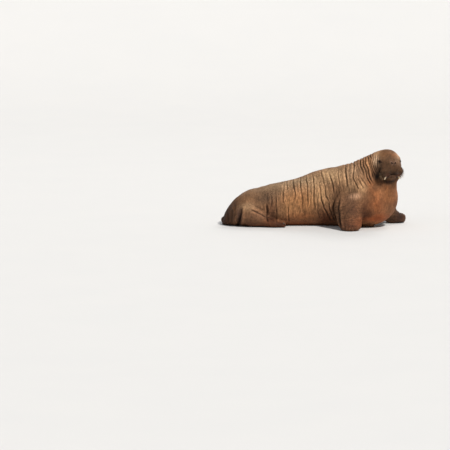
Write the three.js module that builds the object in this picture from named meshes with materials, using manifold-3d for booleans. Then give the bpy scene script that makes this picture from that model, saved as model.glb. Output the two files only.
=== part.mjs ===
// A young walrus, life size, lying on its belly and propped on its fore flippers.
// The head is raised and turned towards the side that the near flank faces.
// Millimetres, +Z up. +X runs from the tail to the chest, -Y is the animal's right side.

import * as THREE from 'three';
import { LoftGeometry } from 'three/addons/geometries/LoftGeometry.js';
import { mergeVertices } from 'three/addons/utils/BufferGeometryUtils.js';
import Module from 'manifold-3d';

// Sizes that drive the whole body
const RUMP_END = -964;
const RUMP_START = -600;
const RUMP_SLOPE = 1.7;
const RUMP_ROUND = 2.3;
const CHEST_END = 620;
const CHEST_START = 300;

// Gaps between the pieces, and how a socket is widened round the piece in it
const GAP = 0.3;
const SOCKET_GAP = 0.45;
const LIP_GAP = 0.8;
const OFFSET_TURNS = 12;
const OFFSET_REACH = 4;
const BIG = 4000;

// The back's height, half the trunk's width and its middle line, from the rump to the shoulders
const BACK_HEIGHT = [[-600, 385], [-460, 424], [-250, 464], [-140, 496], [60, 572], [320, 622], [620, 630]];
const TRUNK_HALF = [[-600, 255], [-250, 272], [60, 290], [320, 282], [620, 240]];
const TRUNK_MIDDLE = [[-960, 110], [-740, 92], [-460, 112], [-200, 148], [60, 148], [320, 70], [620, -60]];
const WIDEST_AT = 0.42;
const SAG = 0.035;
const LOAF = 2.3;

// Where the trunk and the neck are parted into their pieces
const PELVIS_CUT = -450;
const CHEST_CUT = 150;
const NECK_CUT = { point: [560, -85, 505], normal: [0.28, -0.14, 0.95] };
const SKULL_CUT = { forward: 0.908, up: 0.419 };
const CHIN_CUT = { height: 486, forward: -0.25, up: 0.97 };
const MUZZLE_CUT = { at: -76, forward: 0.94, up: -0.34 };
const MOUTH_HEIGHT = 566;
const SKULL_CUT_PLACE = [0, -232, 700];
const CHIN_CUT_FORWARD = -60;
const MUZZLE_CUT_HEIGHT = 600;

// The chest, which is turned towards the viewer, and the neck over it
const CHEST = { centre: [590, -72, 302], yaw: -34, forward: 284, lateral: 300, up: 286 };
const NECK = { start: [425, 15, 395], startRadius: 262, end: [695, -165, 640], endRadius: 168 };
const THROAT = { at: [700, -150, 470], size: [160, 165, 150] };

// The limbs' upper parts, which are one with the body
const SHOULDER = { forward: -66, lateral: 205, height: 345, size: [150, 112, 160] };
const UPPER_ARM = { forward: -30, lateral: 180, height: 300, radius: 128 };
const ELBOW = { forward: -50, lateral: 312, height: 186, radius: 112 };
const ARM_BACK = { start: [312, -270, 262], startRadius: 104, end: [334, -330, 120], endRadius: 96 };
const THIGH = { at: -650, lateral: 182, height: 122, radius: 124 };
const HIP = { behind: 110, inward: 40, rise: 12, thinner: 14 };
const TAIL = { inward: 32, height: 50, size: [46, 56, 40] };

// The head's own directions: it looks level, turned a little to the viewer's right
const NOSE_TIP = [815, -380];
const FACING = 20;

// The head's forms, with places to the left and forward of the tip of the nose and over the floor
const CRANIUM = { at: [0, -178, 683], size: [140, 146, 145] };
const FOREHEAD = { start: [0, -140, 690], startRadius: 112, end: [0, -75, 640], endRadius: 84 };
const CHEEK = { at: [84, -160, 620], size: [66, 88, 88] };
const JOWL = { at: [72, -200, 555], size: [84, 86, 92] };
const BROW = { at: [82, -118, 728], size: [34, 40, 26] };
const UPPER_LIP = { at: [0, -74, 618], size: [94, 60, 70] };
const NOSE = { at: [0, -40, 690], size: [44, 38, 30] };
const NOSE_WING = { at: [25, -26, 697], size: [20, 19, 18] };
const CHIN = { at: [0, -78, 546], size: [60, 50, 40] };
const LOWER_LIP = { at: [0, -52, 562], size: [44, 26, 15] };
const JAW_BONE = { start: [0, -100, 548], startRadius: 58, end: [0, -215, 505], endRadius: 120 };

// The two pads of the moustache, one on each side of the upper lip
const PAD = { left: 60, forward: -60, height: 608, size: [72, 60, 58] };

// The moustache's bristles: how many on each pad, their roots' depth, length, radius and droop
const BRISTLE = {
  rows: 6, columns: 6, root: 14, shortest: 24, longest: 40, radius: 1.9, droop: 0.42, clear: 7, sides: 5,
};
// The bristles' directions: from near the nose outwards, and from the top of the pad down
const BRISTLE_TURN = [-22, 74];
const BRISTLE_LIFT = [40, -62];
const NOSTRIL = { left: 19, height: 699, wide: 6.5, deep: 13, high: 11, lean: 0.3, inner: -60 };

// Eyes, set in sockets with a lid over each ball
const EYE = {
  left: 104, forward: -104, height: 707, radius: 19, lid: 3.4, depth: 17, wide: 12.5, high: 8.5, deep: 16,
};
const EYE_OUTWARD = { left: 0.74, forward: 0.64, up: 0.18 };
const EYE_ROOT = { left: 40, behind: 50, below: 12 };

// Tusks: short in a young animal, just past the lip, leaning apart
const TUSK = {
  left: 58, forward: -30, top: 592, length: 74, radius: 9.2, oval: 1.15, spread: 0.42, back: 0.06, bend: 5,
};
const TUSK_TAPER = [1, 1, 0.94, 0.84, 0.66, 0.42];
const TUSK_RINGS = 8;
const TUSK_AROUND = 12;

// Flippers: five digits, with nails on top of them near the tips
const DIGITS = 5;
const ACROSS = 10;
const LIMB_SECTIONS = 13;
const CLAW = { wide: 0.36, thick: 0.3, lean: 0.08, sunk: 0.06, step: 0.4, at: 0.9 };
const FORE_CLAWS = [9, 9, 9, 9, 8];
const HIND_CLAWS = [7, 12, 13, 12, 7];
const WRIST_CUT = 0.48;
const ANKLE_CUT = 0.44;

// How softly the forms run into each other
const BODY_BLEND = 60;
const SKULL_BLEND = 40;
const NECK_BLEND = 30;
const HEAD_BLEND = 24;
const SNOUT_BLEND = 20;

// The hide's colours, and those of the eyes, tusks and nails
const COLOUR = {
  rump: 0x7d5f48, flank: 0x89603f, chest: 0x8a5b3c, neck: 0x8d684c, head: 0x7d583e, muzzle: 0x503727,
  jaw: 0x4c3222, tail: 0x48301f, nearHand: 0x664432, farHand: 0x50372f, hindFlipper: 0x6c4f39,
  eye: 0x140c08, tusk: 0xe2d2b4, claw: 0x3a2a20,
};

const SEED = 5270;

const vec = (x, y, z) => new THREE.Vector3(x, y, z);
const radians = THREE.MathUtils.degToRad;
const UP = vec(0, 0, 1);

const facing = radians(FACING);
const HEAD_FORWARD = vec(Math.sin(facing), -Math.cos(facing), 0);
const HEAD_LEFT = vec(Math.cos(facing), Math.sin(facing), 0);

// A place in the head: to its left, forward of the tip of the nose, and above the floor
function inHead(left, forward, height) {
  return vec(NOSE_TIP[0], NOSE_TIP[1], height)
    .addScaledVector(HEAD_LEFT, left)
    .addScaledVector(HEAD_FORWARD, forward);
}

const yaw = radians(CHEST.yaw);
const CHEST_FORWARD = vec(Math.cos(yaw), Math.sin(yaw), 0);
const CHEST_LEFT = vec(-Math.sin(yaw), Math.cos(yaw), 0);
const CHEST_CENTRE = vec(...CHEST.centre);

// A place in the chest: forward of its middle, to its left, and above the floor
function inChest(forward, left, height) {
  return vec(CHEST_CENTRE.x, CHEST_CENTRE.y, height)
    .addScaledVector(CHEST_FORWARD, forward)
    .addScaledVector(CHEST_LEFT, left);
}

const wasm = await Module();
wasm.setup();

// A smooth curve through [place, value] pairs, level beyond its ends
function profile(pairs) {
  const slope = (i) => {
    const a = pairs[Math.max(i - 1, 0)];
    const b = pairs[Math.min(i + 1, pairs.length - 1)];
    return (b[1] - a[1]) / (b[0] - a[0]);
  };
  return (x) => {
    if (x <= pairs[0][0]) return pairs[0][1];
    if (x >= pairs.at(-1)[0]) return pairs.at(-1)[1];
    const i = pairs.findIndex((pair) => pair[0] > x) - 1;
    const run = pairs[i + 1][0] - pairs[i][0];
    const t = (x - pairs[i][0]) / run;
    const rise = pairs[i + 1][1] - pairs[i][1];
    const ease = t * t * (3 - 2 * t);
    const start = t * (1 - t) * (1 - t) * slope(i) * run;
    const end = t * t * (t - 1) * slope(i + 1) * run;
    return pairs[i][1] + rise * ease + start + end;
  };
}

const evenly = (values) => profile(values.map((value, i) => [i / (values.length - 1), value]));

// Flesh is a field: below zero inside, above zero outside, about in millimetres

function ellipsoid(centre, semi, axes = [vec(1, 0, 0), vec(0, 1, 0), UP]) {
  return (p) => {
    const d = p.clone().sub(centre);
    const parts = axes.map((axis, i) => d.dot(axis) / semi[i]);
    const near = Math.hypot(...parts);
    const slope = Math.hypot(...parts.map((part, i) => part / semi[i]));
    return slope > 0 ? (near * (near - 1)) / slope : -Math.min(...semi);
  };
}

function taperedLimb(start, startRadius, end, endRadius) {
  const line = new THREE.Line3(start, end);
  const nearest = vec(0, 0, 0);
  return (p) => {
    const t = line.closestPointToPointParameter(p, true);
    line.at(t, nearest);
    return p.distanceTo(nearest) - THREE.MathUtils.lerp(startRadius, endRadius, t);
  };
}

function blended(softness, ...fields) {
  return (p) => {
    let sum = fields[0](p);
    for (const field of fields.slice(1)) {
      const next = field(p);
      const near = Math.max(softness - Math.abs(sum - next), 0) / softness;
      sum = Math.min(sum, next) - (near * near * softness) / 4;
    }
    return sum;
  };
}

const backHeight = profile(BACK_HEIGHT);
const trunkHalf = profile(TRUNK_HALF);
const trunkMiddle = profile(TRUNK_MIDDLE);

function closing(x, power) {
  const back = Math.max(0, (RUMP_START - x) / (RUMP_START - RUMP_END));
  const front = Math.max(0, (x - CHEST_START) / (CHEST_END - CHEST_START));
  const rear = Math.max(1e-6, 1 - back ** power) ** (1 / power);
  return rear * Math.sqrt(Math.max(1e-6, 1 - front * front));
}

// The trunk is a loaf: widest below its middle, flat where it lies on the floor
function trunk(p) {
  const x = THREE.MathUtils.clamp(p.x, RUMP_END, CHEST_END);
  const top = backHeight(x) * closing(x, RUMP_SLOPE);
  const half = trunkHalf(x) * closing(x, RUMP_ROUND);
  const middle = WIDEST_AT * top;
  const above = p.z > middle;
  const rise = above ? top - middle : middle + SAG * top;
  const across = Math.abs(p.y - trunkMiddle(x)) / half;
  const along = Math.abs(p.z - middle) / rise;
  const radius = (across ** LOAF + along ** LOAF) ** (1 / LOAF);
  const past = Math.abs(p.x - x);
  return (radius - 1) * Math.min(half, rise) + past;
}

const headAxes = [HEAD_LEFT, HEAD_FORWARD, UP];
const chestAxes = [CHEST_FORWARD, CHEST_LEFT, UP];
const inHeadAt = ([left, forward, height], side = 1) => inHead(side * left, forward, height);
const headPart = (form, side = 1) => ellipsoid(inHeadAt(form.at, side), form.size, headAxes);
const limbOf = (form, place) => taperedLimb(
  place(form.start), form.startRadius, place(form.end), form.endRadius);
const pair = (make) => [-1, 1].map(make);
const toVec = (place) => vec(...place);

const shoulders = pair((side) => ellipsoid(
  inChest(SHOULDER.forward, side * SHOULDER.lateral, SHOULDER.height), SHOULDER.size, chestAxes));
const chest = ellipsoid(CHEST_CENTRE, [CHEST.forward, CHEST.lateral, CHEST.up], chestAxes);
const neckMass = limbOf(NECK, toVec);
const throat = ellipsoid(vec(...THROAT.at), THROAT.size);
const upperArms = pair((side) => taperedLimb(
  inChest(UPPER_ARM.forward, side * UPPER_ARM.lateral, UPPER_ARM.height), UPPER_ARM.radius,
  inChest(ELBOW.forward, side * ELBOW.lateral, ELBOW.height), ELBOW.radius));
const beside = (x, lateral, height) => vec(x, trunkMiddle(x) + lateral, height);
const thighs = pair((side) => taperedLimb(
  beside(THIGH.at - HIP.behind, side * (THIGH.lateral - HIP.inward), THIGH.height + HIP.rise),
  THIGH.radius - HIP.thinner,
  beside(THIGH.at, side * THIGH.lateral, THIGH.height), THIGH.radius));
const armBack = limbOf(ARM_BACK, toVec);
const body = blended(BODY_BLEND,
  trunk, chest, neckMass, throat, ...shoulders, ...upperArms, armBack, ...thighs);

const skull = blended(SKULL_BLEND,
  headPart(CRANIUM), limbOf(FOREHEAD, inHeadAt),
  ...pair((side) => headPart(CHEEK, side)), ...pair((side) => headPart(JOWL, side)));
const brows = pair((side) => headPart(BROW, side));
const padForm = { at: [PAD.left, PAD.forward, PAD.height], size: PAD.size };
const snout = blended(SNOUT_BLEND,
  headPart(UPPER_LIP), headPart(NOSE),
  ...pair((side) => headPart(NOSE_WING, side)), ...pair((side) => headPart(padForm, side)));
const jaw = blended(NECK_BLEND, headPart(CHIN), headPart(LOWER_LIP), limbOf(JAW_BONE, inHeadAt));
const upperHead = blended(HEAD_BLEND, skull, snout, ...brows);
const fleshUnderMouth = blended(NECK_BLEND, body, blended(HEAD_BLEND, skull, jaw));
const flesh = blended(NECK_BLEND, body, blended(HEAD_BLEND, upperHead, jaw));

// The place where a ray from inside a field comes out
function onSkin(origin, direction, reach = 700, field = flesh) {
  const step = 8;
  const at = (t) => origin.clone().addScaledVector(direction, t);
  let inside = 0;
  while (inside + step < reach && field(at(inside + step)) < 0) inside += step;
  if (inside + step >= reach) return at(reach);
  let outside = inside + step;
  for (let i = 0; i < 14; i++) {
    const half = (inside + outside) / 2;
    if (field(at(half)) < 0) inside = half;
    else outside = half;
  }
  return at(inside);
}

// The same surface with its places alone, so that faces side by side share their corners
function withoutSeams(geometry) {
  const bare = new THREE.BufferGeometry();
  bare.setAttribute('position', geometry.getAttribute('position').clone());
  bare.setIndex(geometry.index);
  return mergeVertices(bare, 1e-3);
}

// A closed geometry as a solid
function solidOf(geometry) {
  const merged = withoutSeams(geometry);
  const solid = new wasm.Manifold(new wasm.Mesh({
    numProp: 3,
    vertProperties: merged.attributes.position.array,
    triVerts: new Uint32Array(merged.index.array),
  }));
  if (solid.volume() <= 0) throw new Error('the faces point inwards');
  return solid;
}

// The shape of the socket that holds a mesh: each of its faces is moved out by a gap
function socketFor(mesh, gap = SOCKET_GAP) {
  mesh.updateMatrixWorld();
  const shared = withoutSeams(mesh.geometry).applyMatrix4(mesh.matrixWorld);
  const positions = shared.getAttribute('position');
  const corner = (i) => vec(0, 0, 0).fromBufferAttribute(positions, i);
  const facesAt = Array.from({ length: positions.count }, () => []);
  const triangle = new THREE.Triangle();
  for (let i = 0; i < shared.index.count; i += 3) {
    const corners = [0, 1, 2].map((k) => shared.index.getX(i + k));
    triangle.set(...corners.map(corner));
    const normal = triangle.getNormal(vec(0, 0, 0));
    corners.forEach((k) => facesAt[k].push(normal));
  }
  facesAt.forEach((normals, i) => {
    const shift = vec(0, 0, 0);
    for (let turn = 0; turn < OFFSET_TURNS; turn++) {
      normals.forEach((normal) => shift.addScaledVector(normal, Math.max(0, gap - shift.dot(normal))));
    }
    positions.setXYZ(i, ...corner(i).add(shift.clampLength(0, OFFSET_REACH * gap)).toArray());
  });
  return solidOf(shared);
}

function geometryOf(solid) {
  const mesh = solid.getMesh();
  const positions = new Float32Array(mesh.numVert * 3);
  for (let i = 0; i < mesh.numVert; i++) {
    positions.set(mesh.vertProperties.subarray(i * mesh.numProp, i * mesh.numProp + 3), i * 3);
  }
  const geometry = new THREE.BufferGeometry();
  geometry.setAttribute('position', new THREE.BufferAttribute(positions, 3));
  geometry.setIndex(new THREE.BufferAttribute(mesh.triVerts, 1));
  geometry.computeVertexNormals();
  return geometry;
}

function largest(solid) {
  return solid.decompose().reduce((best, next) => (next.volume() > best.volume() ? next : best));
}

// All that lies beyond a plane, on the side that its normal points to
function beyond(point, normal) {
  const box = new THREE.BoxGeometry(BIG, BIG, BIG);
  const turn = new THREE.Quaternion().setFromUnitVectors(UP, normal);
  const centre = point.clone().addScaledVector(normal, BIG / 2 + GAP / 2);
  box.applyMatrix4(new THREE.Matrix4().compose(centre, turn, vec(1, 1, 1)));
  return solidOf(box);
}

const overFloor = solidOf(new THREE.BoxGeometry(BIG, BIG, BIG).translate(0, 0, BIG / 2));

// A ball whose points are moved out from its middle to the skin, its poles along one axis
function fleshBall(centre, pole, around, rows, reach, field = flesh) {
  const ball = new THREE.SphereGeometry(1, around, rows);
  ball.applyQuaternion(new THREE.Quaternion().setFromUnitVectors(vec(0, 1, 0), pole));
  const positions = ball.getAttribute('position');
  for (let i = 0; i < positions.count; i++) {
    const out = new THREE.Vector3().fromBufferAttribute(positions, i).normalize();
    const place = onSkin(centre, out, reach, field);
    positions.setXYZ(i, place.x, place.y, place.z);
  }
  return solidOf(ball);
}

// The trunk's surface in rings, which fan out round the rump
function fleshSleeve(around, fanRings, rings, front) {
  const turnAt = -700;
  const middleOf = (x) => vec(x, trunkMiddle(x), 0.4 * backHeight(x) * closing(x, RUMP_SLOPE));
  const ring = (origin, lean) => Array.from({ length: around }, (_, j) => {
    const turn = (j / around) * 2 * Math.PI;
    const out = vec(-Math.sin(lean), Math.cos(lean) * Math.cos(turn), Math.cos(lean) * Math.sin(turn));
    return onSkin(origin, out);
  });
  const sections = [];
  for (let i = fanRings; i > 0; i--) {
    sections.push(ring(middleOf(turnAt), (i / (fanRings + 0.35)) * (Math.PI / 2)));
  }
  for (let i = 0; i <= rings; i++) {
    sections.push(ring(middleOf(THREE.MathUtils.lerp(turnAt, front, i / rings)), 0));
  }
  return solidOf(new LoftGeometry(sections, { capStart: true, capEnd: true }));
}

// Level rings of skin round an upright axis, from a low place to a high one
function fleshRings(low, high, around, rings, reach, field) {
  const sections = Array.from({ length: rings + 1 }, (_, i) => {
    const origin = low.clone().lerp(high, i / rings);
    return Array.from({ length: around }, (__, j) => {
      const turn = (j / around) * 2 * Math.PI;
      return onSkin(origin, vec(Math.cos(turn), Math.sin(turn), 0), reach, field);
    });
  });
  return solidOf(new LoftGeometry(sections, { capStart: true, capEnd: true }));
}

// Flippers: a path from the root to the tips, with half the width and thickness on the way
const elbow = (side, forward, lateral, rise) => inChest(
  ELBOW.forward + forward, side * (ELBOW.lateral + lateral), ELBOW.height + rise);

const FORE_RIGHT = {
  path: [elbow(-1, 20, -45, 62), elbow(-1, 0, 0, 0), vec(376, -354, 122), vec(372, -376, 74),
    vec(366, -432, 40), vec(350, -532, 16)],
  across: [vec(-1, -0.1, -0.1), vec(-1, 0.2, 0)],
  half: evenly([62, 86, 112, 120, 118, 66]),
  thick: evenly([56, 70, 78, 66, 44, 20]),
  tipRound: 34,
  scallop: 7,
  ridge: 0.14,
};
const FORE_LEFT = {
  path: [elbow(1, 20, -45, 62), elbow(1, 0, 0, 0), vec(784, 212, 126), vec(812, 236, 82),
    vec(870, 266, 56), vec(964, 318, 40)],
  across: [vec(0.6, -0.8, 0.1), vec(0.5, -0.86, 0)],
  half: evenly([60, 78, 96, 106, 110, 84]),
  thick: evenly([56, 70, 74, 64, 54, 42]),
  tipRound: 34,
  scallop: 7,
  ridge: 0.12,
};
const hind = (side) => ({
  path: [[-700, 150, 128], [-625, 186, 112], [-550, 222, 84], [-480, 250, 56], [-390, 272, 32],
    [-280, 284, 14]].map(([x, lateral, z]) => beside(x, side * lateral, z)),
  across: [vec(0, -1, 0), vec(0, -1, 0)],
  half: evenly([96, 112, 92, 70, 66, 46]),
  thick: evenly([88, 112, 84, 52, 30, 14]),
  tipRound: -26,
  scallop: 13,
  ridge: 0.2,
});

function limbFrame(limb, s) {
  const path = new THREE.CatmullRomCurve3(limb.path);
  const forward = path.getTangent(s);
  const across = limb.across[0].clone().lerp(limb.across[1], THREE.MathUtils.smoothstep(s, 0.1, 0.7));
  across.addScaledVector(forward, -across.dot(forward)).normalize();
  return { centre: path.getPoint(s), forward, across, up: across.clone().cross(forward) };
}

// A point of a flipper's surface: u runs from one edge to the other, face is 1 on top and -1 below
function onLimb(limb, s, u, face) {
  const { centre, forward, across, up } = limbFrame(limb, s);
  const flat = THREE.MathUtils.smoothstep(s, 0.5, 0.85);
  const roundness = THREE.MathUtils.lerp(2, 3, flat);
  const ridges = Math.cos(DIGITS * Math.PI * u) * flat;
  const thick = s === 1 ? 0 : limb.thick(s) * (1 + limb.ridge * ridges);
  const rise = Math.max(0, 1 - Math.abs(u) ** roundness) ** (1 / roundness);
  const fan = THREE.MathUtils.smoothstep(s, 0.65, 1);
  const reach = fan * (limb.scallop * ridges - limb.tipRound * u * u);
  return centre
    .addScaledVector(across, u * limb.half(s))
    .addScaledVector(up, face * rise * thick)
    .addScaledVector(forward, reach);
}

function flipperGeometry(limb) {
  const sections = Array.from({ length: LIMB_SECTIONS + 1 }, (_, i) => {
    const s = i / LIMB_SECTIONS;
    const flat = THREE.MathUtils.smoothstep(s, 0.4, 0.8);
    const rounded = (k) => -Math.cos((k / ACROSS) * Math.PI);
    const place = (k) => THREE.MathUtils.lerp(rounded(k), (2 * k) / ACROSS - 1, flat);
    const points = [];
    for (let k = 0; k < ACROSS; k++) points.push(onLimb(limb, s, place(k), 1));
    for (let k = ACROSS; k > 0; k--) points.push(onLimb(limb, s, place(k), -1));
    return points;
  });
  return new LoftGeometry(sections, { capStart: true });
}

// Materials, each with the colour that its place on the animal has
function skinLike(color, roughness = 0.8) {
  return new THREE.MeshStandardMaterial({ color, roughness, metalness: 0 });
}

const walrus = new THREE.Group();

function addFlesh(name, solid, material) {
  const mesh = new THREE.Mesh(geometryOf(largest(solid)), material);
  mesh.name = name;
  walrus.add(mesh);
}

function eyeMesh(side, name) {
  const outward = HEAD_LEFT.clone().multiplyScalar(side * EYE_OUTWARD.left);
  outward.addScaledVector(HEAD_FORWARD, EYE_OUTWARD.forward).addScaledVector(UP, EYE_OUTWARD.up);
  outward.normalize();
  const inner = inHead(side * EYE_ROOT.left, EYE.forward - EYE_ROOT.behind, EYE.height - EYE_ROOT.below);
  const target = inHead(side * EYE.left, EYE.forward, EYE.height);
  const surface = onSkin(inner, target.sub(inner).normalize());
  const mesh = new THREE.Mesh(new THREE.SphereGeometry(EYE.radius, 14, 10), skinLike(COLOUR.eye, 0.15));
  mesh.name = name;
  mesh.quaternion.setFromUnitVectors(vec(0, 1, 0), outward);
  mesh.position.copy(surface).addScaledVector(outward, -EYE.depth);
  mesh.userData.outward = outward;
  return mesh;
}

const eyes = [eyeMesh(-1, 'eye_right'), eyeMesh(1, 'eye_left')];

function ballAt(mesh, radius) {
  const ball = new THREE.SphereGeometry(radius, 18, 12);
  return solidOf(ball.applyQuaternion(mesh.quaternion).translate(...mesh.position.toArray()));
}

// The almond between the lids, as a squashed ball in front of the eye
function lidOpening(eye) {
  const { outward } = eye.userData;
  const level = UP.clone().cross(outward).normalize();
  const upright = outward.clone().cross(level);
  const place = eye.position.clone().addScaledVector(outward, EYE.radius);
  const turn = new THREE.Matrix4().makeBasis(level, upright, outward).setPosition(place);
  const almond = new THREE.SphereGeometry(1, 18, 12).scale(EYE.wide, EYE.high, EYE.deep);
  return solidOf(almond.applyMatrix4(turn));
}

// A nostril's hollow, upright and leaning outwards at the top
function nostril(side) {
  const inner = inHead(side * NOSTRIL.left, NOSTRIL.inner, NOSTRIL.height);
  const hollow = new THREE.Mesh(new THREE.SphereGeometry(1, 14, 10));
  hollow.geometry.scale(NOSTRIL.wide, NOSTRIL.deep, NOSTRIL.high);
  const across = HEAD_LEFT.clone().addScaledVector(UP, -side * NOSTRIL.lean).normalize();
  const upright = across.clone().cross(HEAD_FORWARD);
  hollow.quaternion.setFromRotationMatrix(new THREE.Matrix4().makeBasis(across, HEAD_FORWARD, upright));
  hollow.position.copy(onSkin(inner, HEAD_FORWARD));
  hollow.updateMatrixWorld();
  return solidOf(hollow.geometry.applyMatrix4(hollow.matrixWorld));
}

// One bristle: a cone that tapers to its tip and bends down on the way
function bristleSolid(root, out, length) {
  const whole = length + BRISTLE.root;
  const cone = new THREE.ConeGeometry(BRISTLE.radius, whole, BRISTLE.sides, 2).translate(0, whole / 2, 0);
  const positions = cone.getAttribute('position');
  for (let i = 0; i < positions.count; i++) {
    const t = positions.getY(i) / whole;
    positions.setZ(i, positions.getZ(i) + BRISTLE.droop * length * t * t);
  }
  const down = UP.clone().negate().addScaledVector(out, out.z).normalize();
  const turn = new THREE.Matrix4().makeBasis(out.clone().cross(down), out, down);
  return solidOf(cone.applyMatrix4(turn.setPosition(root.clone().addScaledVector(out, -BRISTLE.root))));
}

// Whether a bristle through some places keeps clear of the tusks and the lower lip
function isClear(places) {
  const clearOfTusks = tusks.every(
    (tusk) => places.every((place) => tuskDistance(tusk, place) > BRISTLE.clear));
  return clearOfTusks && places.slice(-2).every((place) => jaw(place) > BRISTLE.clear);
}

// The moustache stands in rows on each pad, longest at the sides
function bristlesOf(side) {
  const centre = inHead(side * PAD.left, PAD.forward, PAD.height);
  const bristles = [];
  for (let row = 0; row < BRISTLE.rows; row++) {
    for (let column = 0; column < BRISTLE.columns; column++) {
      const aside = (column + 0.5 * (row % 2) + 0.5 * nextRandom()) / BRISTLE.columns;
      const down = (row + 0.5 * nextRandom()) / (BRISTLE.rows - 1);
      const turn = radians(THREE.MathUtils.lerp(...BRISTLE_TURN, aside));
      const lift = radians(THREE.MathUtils.lerp(...BRISTLE_LIFT, down));
      const out = HEAD_FORWARD.clone().multiplyScalar(Math.cos(turn) * Math.cos(lift));
      out.addScaledVector(HEAD_LEFT, side * Math.sin(turn) * Math.cos(lift));
      out.addScaledVector(UP, Math.sin(lift)).normalize();
      const root = onSkin(centre, out, 160, upperHead);
      const usual = THREE.MathUtils.lerp(BRISTLE.shortest, BRISTLE.longest, aside);
      const length = usual * (0.85 + 0.3 * nextRandom());
      const tip = root.clone().addScaledVector(out, length).addScaledVector(UP, -BRISTLE.droop * length);
      const middle = root.clone().lerp(tip, 0.5);
      const base = root.clone().addScaledVector(out, -BRISTLE.root);
      if (isClear([base, root, middle, tip])) bristles.push(bristleSolid(root, out, length));
    }
  }
  return bristles;
}

function tuskMesh(side, name) {
  const taper = evenly(TUSK_TAPER);
  const sections = Array.from({ length: TUSK_RINGS + 1 }, (_, i) => {
    const s = i / TUSK_RINGS;
    const sweep = TUSK.bend * s * s;
    return Array.from({ length: TUSK_AROUND }, (__, j) => {
      const turn = (j / TUSK_AROUND) * 2 * Math.PI;
      const r = TUSK.radius * taper(s);
      return vec(r * Math.cos(turn), sweep + TUSK.oval * r * Math.sin(turn), s * TUSK.length);
    });
  });
  const geometry = new LoftGeometry(sections, { capStart: true, capEnd: true });
  const mesh = new THREE.Mesh(geometry, skinLike(COLOUR.tusk, 0.35));
  const down = vec(0, 0, -1).addScaledVector(HEAD_LEFT, side * TUSK.spread);
  down.addScaledVector(HEAD_FORWARD, -TUSK.back).normalize();
  mesh.name = name;
  mesh.quaternion.setFromUnitVectors(UP, down);
  mesh.position.copy(inHead(side * TUSK.left, TUSK.forward, TUSK.top));
  return mesh;
}

const tusks = [tuskMesh(-1, 'tusk_right'), tuskMesh(1, 'tusk_left')];

// How far a point is from the surface of a tusk
function tuskDistance(tusk, point) {
  const start = tusk.position;
  const end = start.clone().add(vec(0, 0, TUSK.length).applyQuaternion(tusk.quaternion));
  const nearest = new THREE.Line3(start, end).closestPointToPoint(point, true, vec(0, 0, 0));
  return nearest.distanceTo(point) - TUSK.radius;
}

const tuskSockets = tusks.map((tusk) => socketFor(tusk));

// Claws: small nails on top of each digit near its tip
function clawMeshes(limb, prefix, sizes) {
  return sizes.map((size, i) => {
    const u = (i - (DIGITS - 1) / 2) * CLAW.step;
    const { forward, up } = limbFrame(limb, CLAW.at);
    const ahead = forward.clone().addScaledVector(up, -CLAW.lean).normalize();
    const claw = new THREE.Mesh(new THREE.SphereGeometry(1, 6, 4), skinLike(COLOUR.claw, 0.45));
    claw.geometry.scale(size * CLAW.wide, size, size * CLAW.thick);
    claw.name = prefix + (i + 1);
    claw.quaternion.setFromUnitVectors(vec(0, 1, 0), ahead);
    claw.position.copy(onLimb(limb, CLAW.at, u, 1)).addScaledVector(up, -size * CLAW.sunk);
    return claw;
  });
}

const foreLimb = (name, limb, color) => ({ name, limb, color, claws: FORE_CLAWS, cut: WRIST_CUT });
const hindLimb = (name, side) => (
  { name, limb: hind(side), color: COLOUR.hindFlipper, claws: HIND_CLAWS, cut: ANKLE_CUT });
const limbs = [
  foreLimb('fore_flipper_right', FORE_RIGHT, COLOUR.nearHand),
  foreLimb('fore_flipper_left', FORE_LEFT, COLOUR.farHand),
  hindLimb('hind_flipper_right', -1),
  hindLimb('hind_flipper_left', 1),
];

const nextRandom = (() => {
  let state = SEED;
  return () => {
    state = (state * 1664525 + 1013904223) % 4294967296;
    return state / 4294967296;
  };
})();

// The flesh of each region, before it is parted
const trunkSolid = fleshSleeve(32, 7, 14, CHEST_CUT + 60);
const chestSolid = fleshBall(vec(520, -40, 300), UP, 38, 26, 640);
const neckSolid = fleshBall(vec(625, -115, 545), vec(0.67, -0.447, 0.596).normalize(), 32, 20, 520);
const headSolid = fleshBall(inHead(0, -160, 645), HEAD_FORWARD, 34, 24, 300);
const muzzleSolid = fleshBall(inHead(0, -84, 640), HEAD_FORWARD, 32, 24, 230, upperHead);
const jawSolid = fleshRings(inHead(0, -150, 436), inHead(0, -150, 576), 40, 11, 300, fleshUnderMouth);

// The planes between the pieces, each seen from both sides
function parting(point, normal) {
  return [beyond(point, normal), beyond(point, normal.clone().negate())];
}

function aslant(forward, up) {
  return HEAD_FORWARD.clone().multiplyScalar(forward).addScaledVector(UP, up).normalize();
}

const [beforePelvis, behindPelvis] = parting(vec(PELVIS_CUT, 0, 0), vec(1, 0, 0));
const [beforeChestCut, behindChestCut] = parting(vec(CHEST_CUT, 0, 0), vec(1, 0, 0));
const [overNeckCut, underNeckCut] = parting(vec(...NECK_CUT.point), vec(...NECK_CUT.normal).normalize());
const [inSkull, behindSkull] = parting(
  inHead(...SKULL_CUT_PLACE), aslant(SKULL_CUT.forward, SKULL_CUT.up));
const [overChin, underChin] = parting(
  inHead(0, CHIN_CUT_FORWARD, CHIN_CUT.height), aslant(CHIN_CUT.forward, CHIN_CUT.up));
const [beforeMuzzle, behindMuzzle] = parting(
  inHead(0, MUZZLE_CUT.at, MUZZLE_CUT_HEIGHT), aslant(MUZZLE_CUT.forward, MUZZLE_CUT.up));
const [overMouth, underMouth] = parting(inHead(0, 0, MOUTH_HEIGHT), UP);
const inHeadPiece = inSkull.intersect(overChin);
const inNeckPiece = overNeckCut.intersect(behindSkull.add(underChin));

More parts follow.
